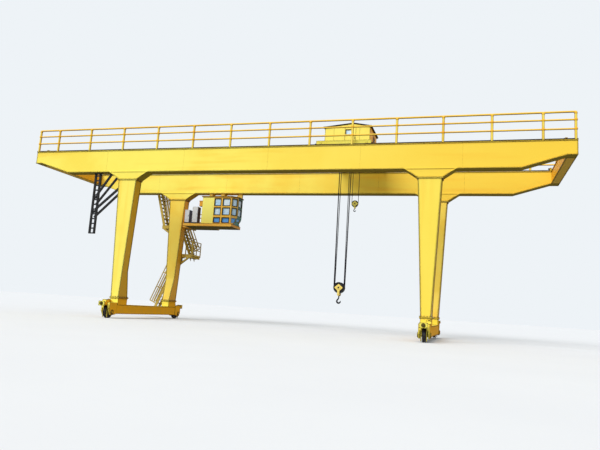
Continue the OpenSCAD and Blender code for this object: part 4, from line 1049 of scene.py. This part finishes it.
MAIN = hoist("main", 0.3, 0.022, (-0.13, 0.0, 0.13), ((-0.27, -0.235, 0.27), (-0.27, 0.235, 0.27)), 1.5)
AUX = hoist("aux", 0.19, 0.017, (0.0,), ((-0.03,), (0.03,)), 1.0)
TURN_STEPS = 20
TURN_PITCH = 2.6


def make_falls(h):
    """Each fall of rope from its drum to its sheave, as a piece of its own with no body."""
    for right, side in enumerate((-1, 1)):
        for i, y in enumerate(h.rows):
            fall = Shape()
            x = h.x + side * h.r
            top, low = Vector((x, h.fan[right][i], h.top)), Vector((x, y, h.pin))
            fall.rope(top, low, h.rope)
            made = piece(f"{h.name}_fall_{'lr'[right]}{i}", fall, slot="rope_wire", body=None)
            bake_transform(made)
            if made.name == h.name + "_fall_l0":
                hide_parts(h.name + "_ropes")


def make_turns(h):
    """Half a turn under each sheave, and a helix from near the falls to each end of the drum."""
    under, wound = Shape(), Shape()
    for y in h.rows:
        under.tube([(h.x - x, y, h.pin - z) for x, z in round_points(h.r, 36)[:19]], h.rope, 8)
    pitch = h.rope * TURN_PITCH
    start = 0.04 + h.fan[1][-1]
    turns = int((h.drum / 2 - 0.06 - start) / pitch)
    ring = round_points(h.r, TURN_STEPS) * turns
    ring.append(ring[0])
    for end in (-1, 1):
        wound.tube([(h.x + x, end * (start + pitch * k / TURN_STEPS), h.top + z)
                    for k, (x, z) in enumerate(ring)], h.rope, 6)
    piece(h.name + "_rope_bights", under, slot="rope_wire", body=h.name + "_block")
    piece(h.name + "_rope_turns", wound, slot="rope_wire", body="trolley")


# Hook blocks: pin discs, pin ends and cheek bolts

def make_block_trim(h, scale, paint):
    """A disc, a pin's end and bolts on both cheeks. scale is the block's size to the main one's."""
    low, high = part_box(h.name + "_block_cheeks")
    discs, pins, bolts = Shape(), Shape(), Shape()
    cheek = (high.y - low.y) / 2 - 0.024
    for face in (-1, 1):
        spot = toward((h.x, face * cheek, h.pin), (0, face, 0))
        discs.lathe([(0.125 * scale, 0), (0.125 * scale, 0.006), (0.105 * scale, 0.012),
                     (0.078 * scale, 0.012)], spot, 28)
        pins.lathe([(0.052 * scale, 0.01), (0.052 * scale, 0.026), (0.044 * scale, 0.03)], spot, 20)
        bolts.ring_of_bolts(spot @ Vector((0, 0, 0.01)), (0, face, 0), 0.098 * scale, 6, 0.018 * scale)
        bolts.row((h.x, face * cheek, h.pin - 0.24 * scale), (h.x, face * cheek, low.z + 0.17 * scale), 2,
                  (0, face, 0), 0.026 * scale)
    body = h.name + "_block"
    piece(h.name + "_pin_discs", discs, paint, body=body)
    piece(h.name + "_pin_ends", pins, slot="black_paint", body=body)
    piece(h.name + "_block_bolts", bolts, BOLT, "track_steel", body)


for h in (MAIN, AUX):
    make_falls(h)
    make_turns(h)
make_block_trim(MAIN, 1.0, BLOCK)
make_block_trim(AUX, 0.7, AUX_BLOCK_LIT)


# Hangers: bolts at their end plates

COLLECTOR_REACH = 2.34
HANGER_PLATE = 0.04


def make_hanger_bolts():
    """Bolts under the collector frame's top plates, and on the feet of the cab's two hangers."""
    bolts = Shape()
    for y in (-GIRDER_Y - 0.035, -GIRDER_Y + 0.035):
        for dx in (-0.24, -0.2, 0.2, 0.24):
            bolts.bolt((-LEG_X - COLLECTOR_REACH + dx, y, SOFFIT - HANGER_PLATE - SEAT_GAP),
                       (0, 0, -1), 0.03)
    low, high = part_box("cab_hangers")
    for x0, width in ((low.x, 0.36), (low.x + 0.88, 0.4)):
        for y in (low.y, high.y - 0.16):
            for x in (x0 + 0.03, x0 + width - 0.03):
                for dy in (0.04, 0.12):
                    bolts.bolt((x, y + dy, low.z + 0.02), (0, 0, 1), 0.03)
    piece("hanger_bolts", bolts, BOLT, "track_steel")


make_hanger_bolts()


# Stage: floor, sky and sun

SUN_WAY = Vector((0.30, 0.78, -0.60))
SUN_ENERGY = 2.05
SUN_SPREAD = math.radians(36)
SKY_STRENGTH = 0.78
SKY_LIGHT = (0.94, 0.97, 1.0, 1)
SKY_SEEN = "#eef3f7"
FLOOR_LIT = "#858680"
FLOOR_SEEN = ("#e4e5e6", "#eaebeb")
FLOOR_SIZE = 900


def seen_directly(tree):
    """One for what the camera sees itself, by a mirror or through glass."""
    path = tree.nodes.new("ShaderNodeLightPath")
    total = path.outputs["Is Camera Ray"]
    for kind in ("Is Glossy Ray", "Is Transmission Ray"):
        either = tree.nodes.new("ShaderNodeMath")
        either.operation = "MAXIMUM"
        tree.links.new(total, either.inputs[0])
        tree.links.new(path.outputs[kind], either.inputs[1])
        total = either.outputs[0]
    return total


def make_floor():
    bpy.ops.mesh.primitive_plane_add(size=FLOOR_SIZE)
    floor = bpy.context.object
    floor.name = "floor"
    s = Shader("floor", roughness=0.95, Specular_IOR_Level=0.1)
    pale = s.mix(s.noise(0.2), *[rgb(tone) for tone in FLOOR_SEEN])
    s.colour(s.mix(seen_directly(s.tree), rgb(FLOOR_LIT), pale))
    floor.data.materials.append(s.material)


def make_light():
    """A wide sun, and a sky whose light and look are set apart."""
    world = bpy.data.worlds.new("sky")
    scene.world = world
    world.use_nodes = True
    tree = world.node_tree
    back = tree.nodes["Background"]
    back.inputs["Color"].default_value = SKY_LIGHT
    back.inputs["Strength"].default_value = SKY_STRENGTH
    seen = tree.nodes.new("ShaderNodeBackground")
    seen.inputs["Color"].default_value = rgb(SKY_SEEN)
    mix = tree.nodes.new("ShaderNodeMixShader")
    tree.links.new(seen_directly(tree), mix.inputs["Fac"])
    tree.links.new(back.outputs[0], mix.inputs[1])
    tree.links.new(seen.outputs[0], mix.inputs[2])
    tree.links.new(mix.outputs[0], tree.nodes["World Output"].inputs["Surface"])

    sun = bpy.data.objects.new("sun", bpy.data.lights.new("sun", "SUN"))
    sun.data.energy = SUN_ENERGY
    sun.data.angle = SUN_SPREAD
    sun.rotation_euler = SUN_WAY.to_track_quat("-Z", "Y").to_euler()
    scene.collection.objects.link(sun)


make_floor()
make_light()
scene.view_settings.view_transform = "Standard"
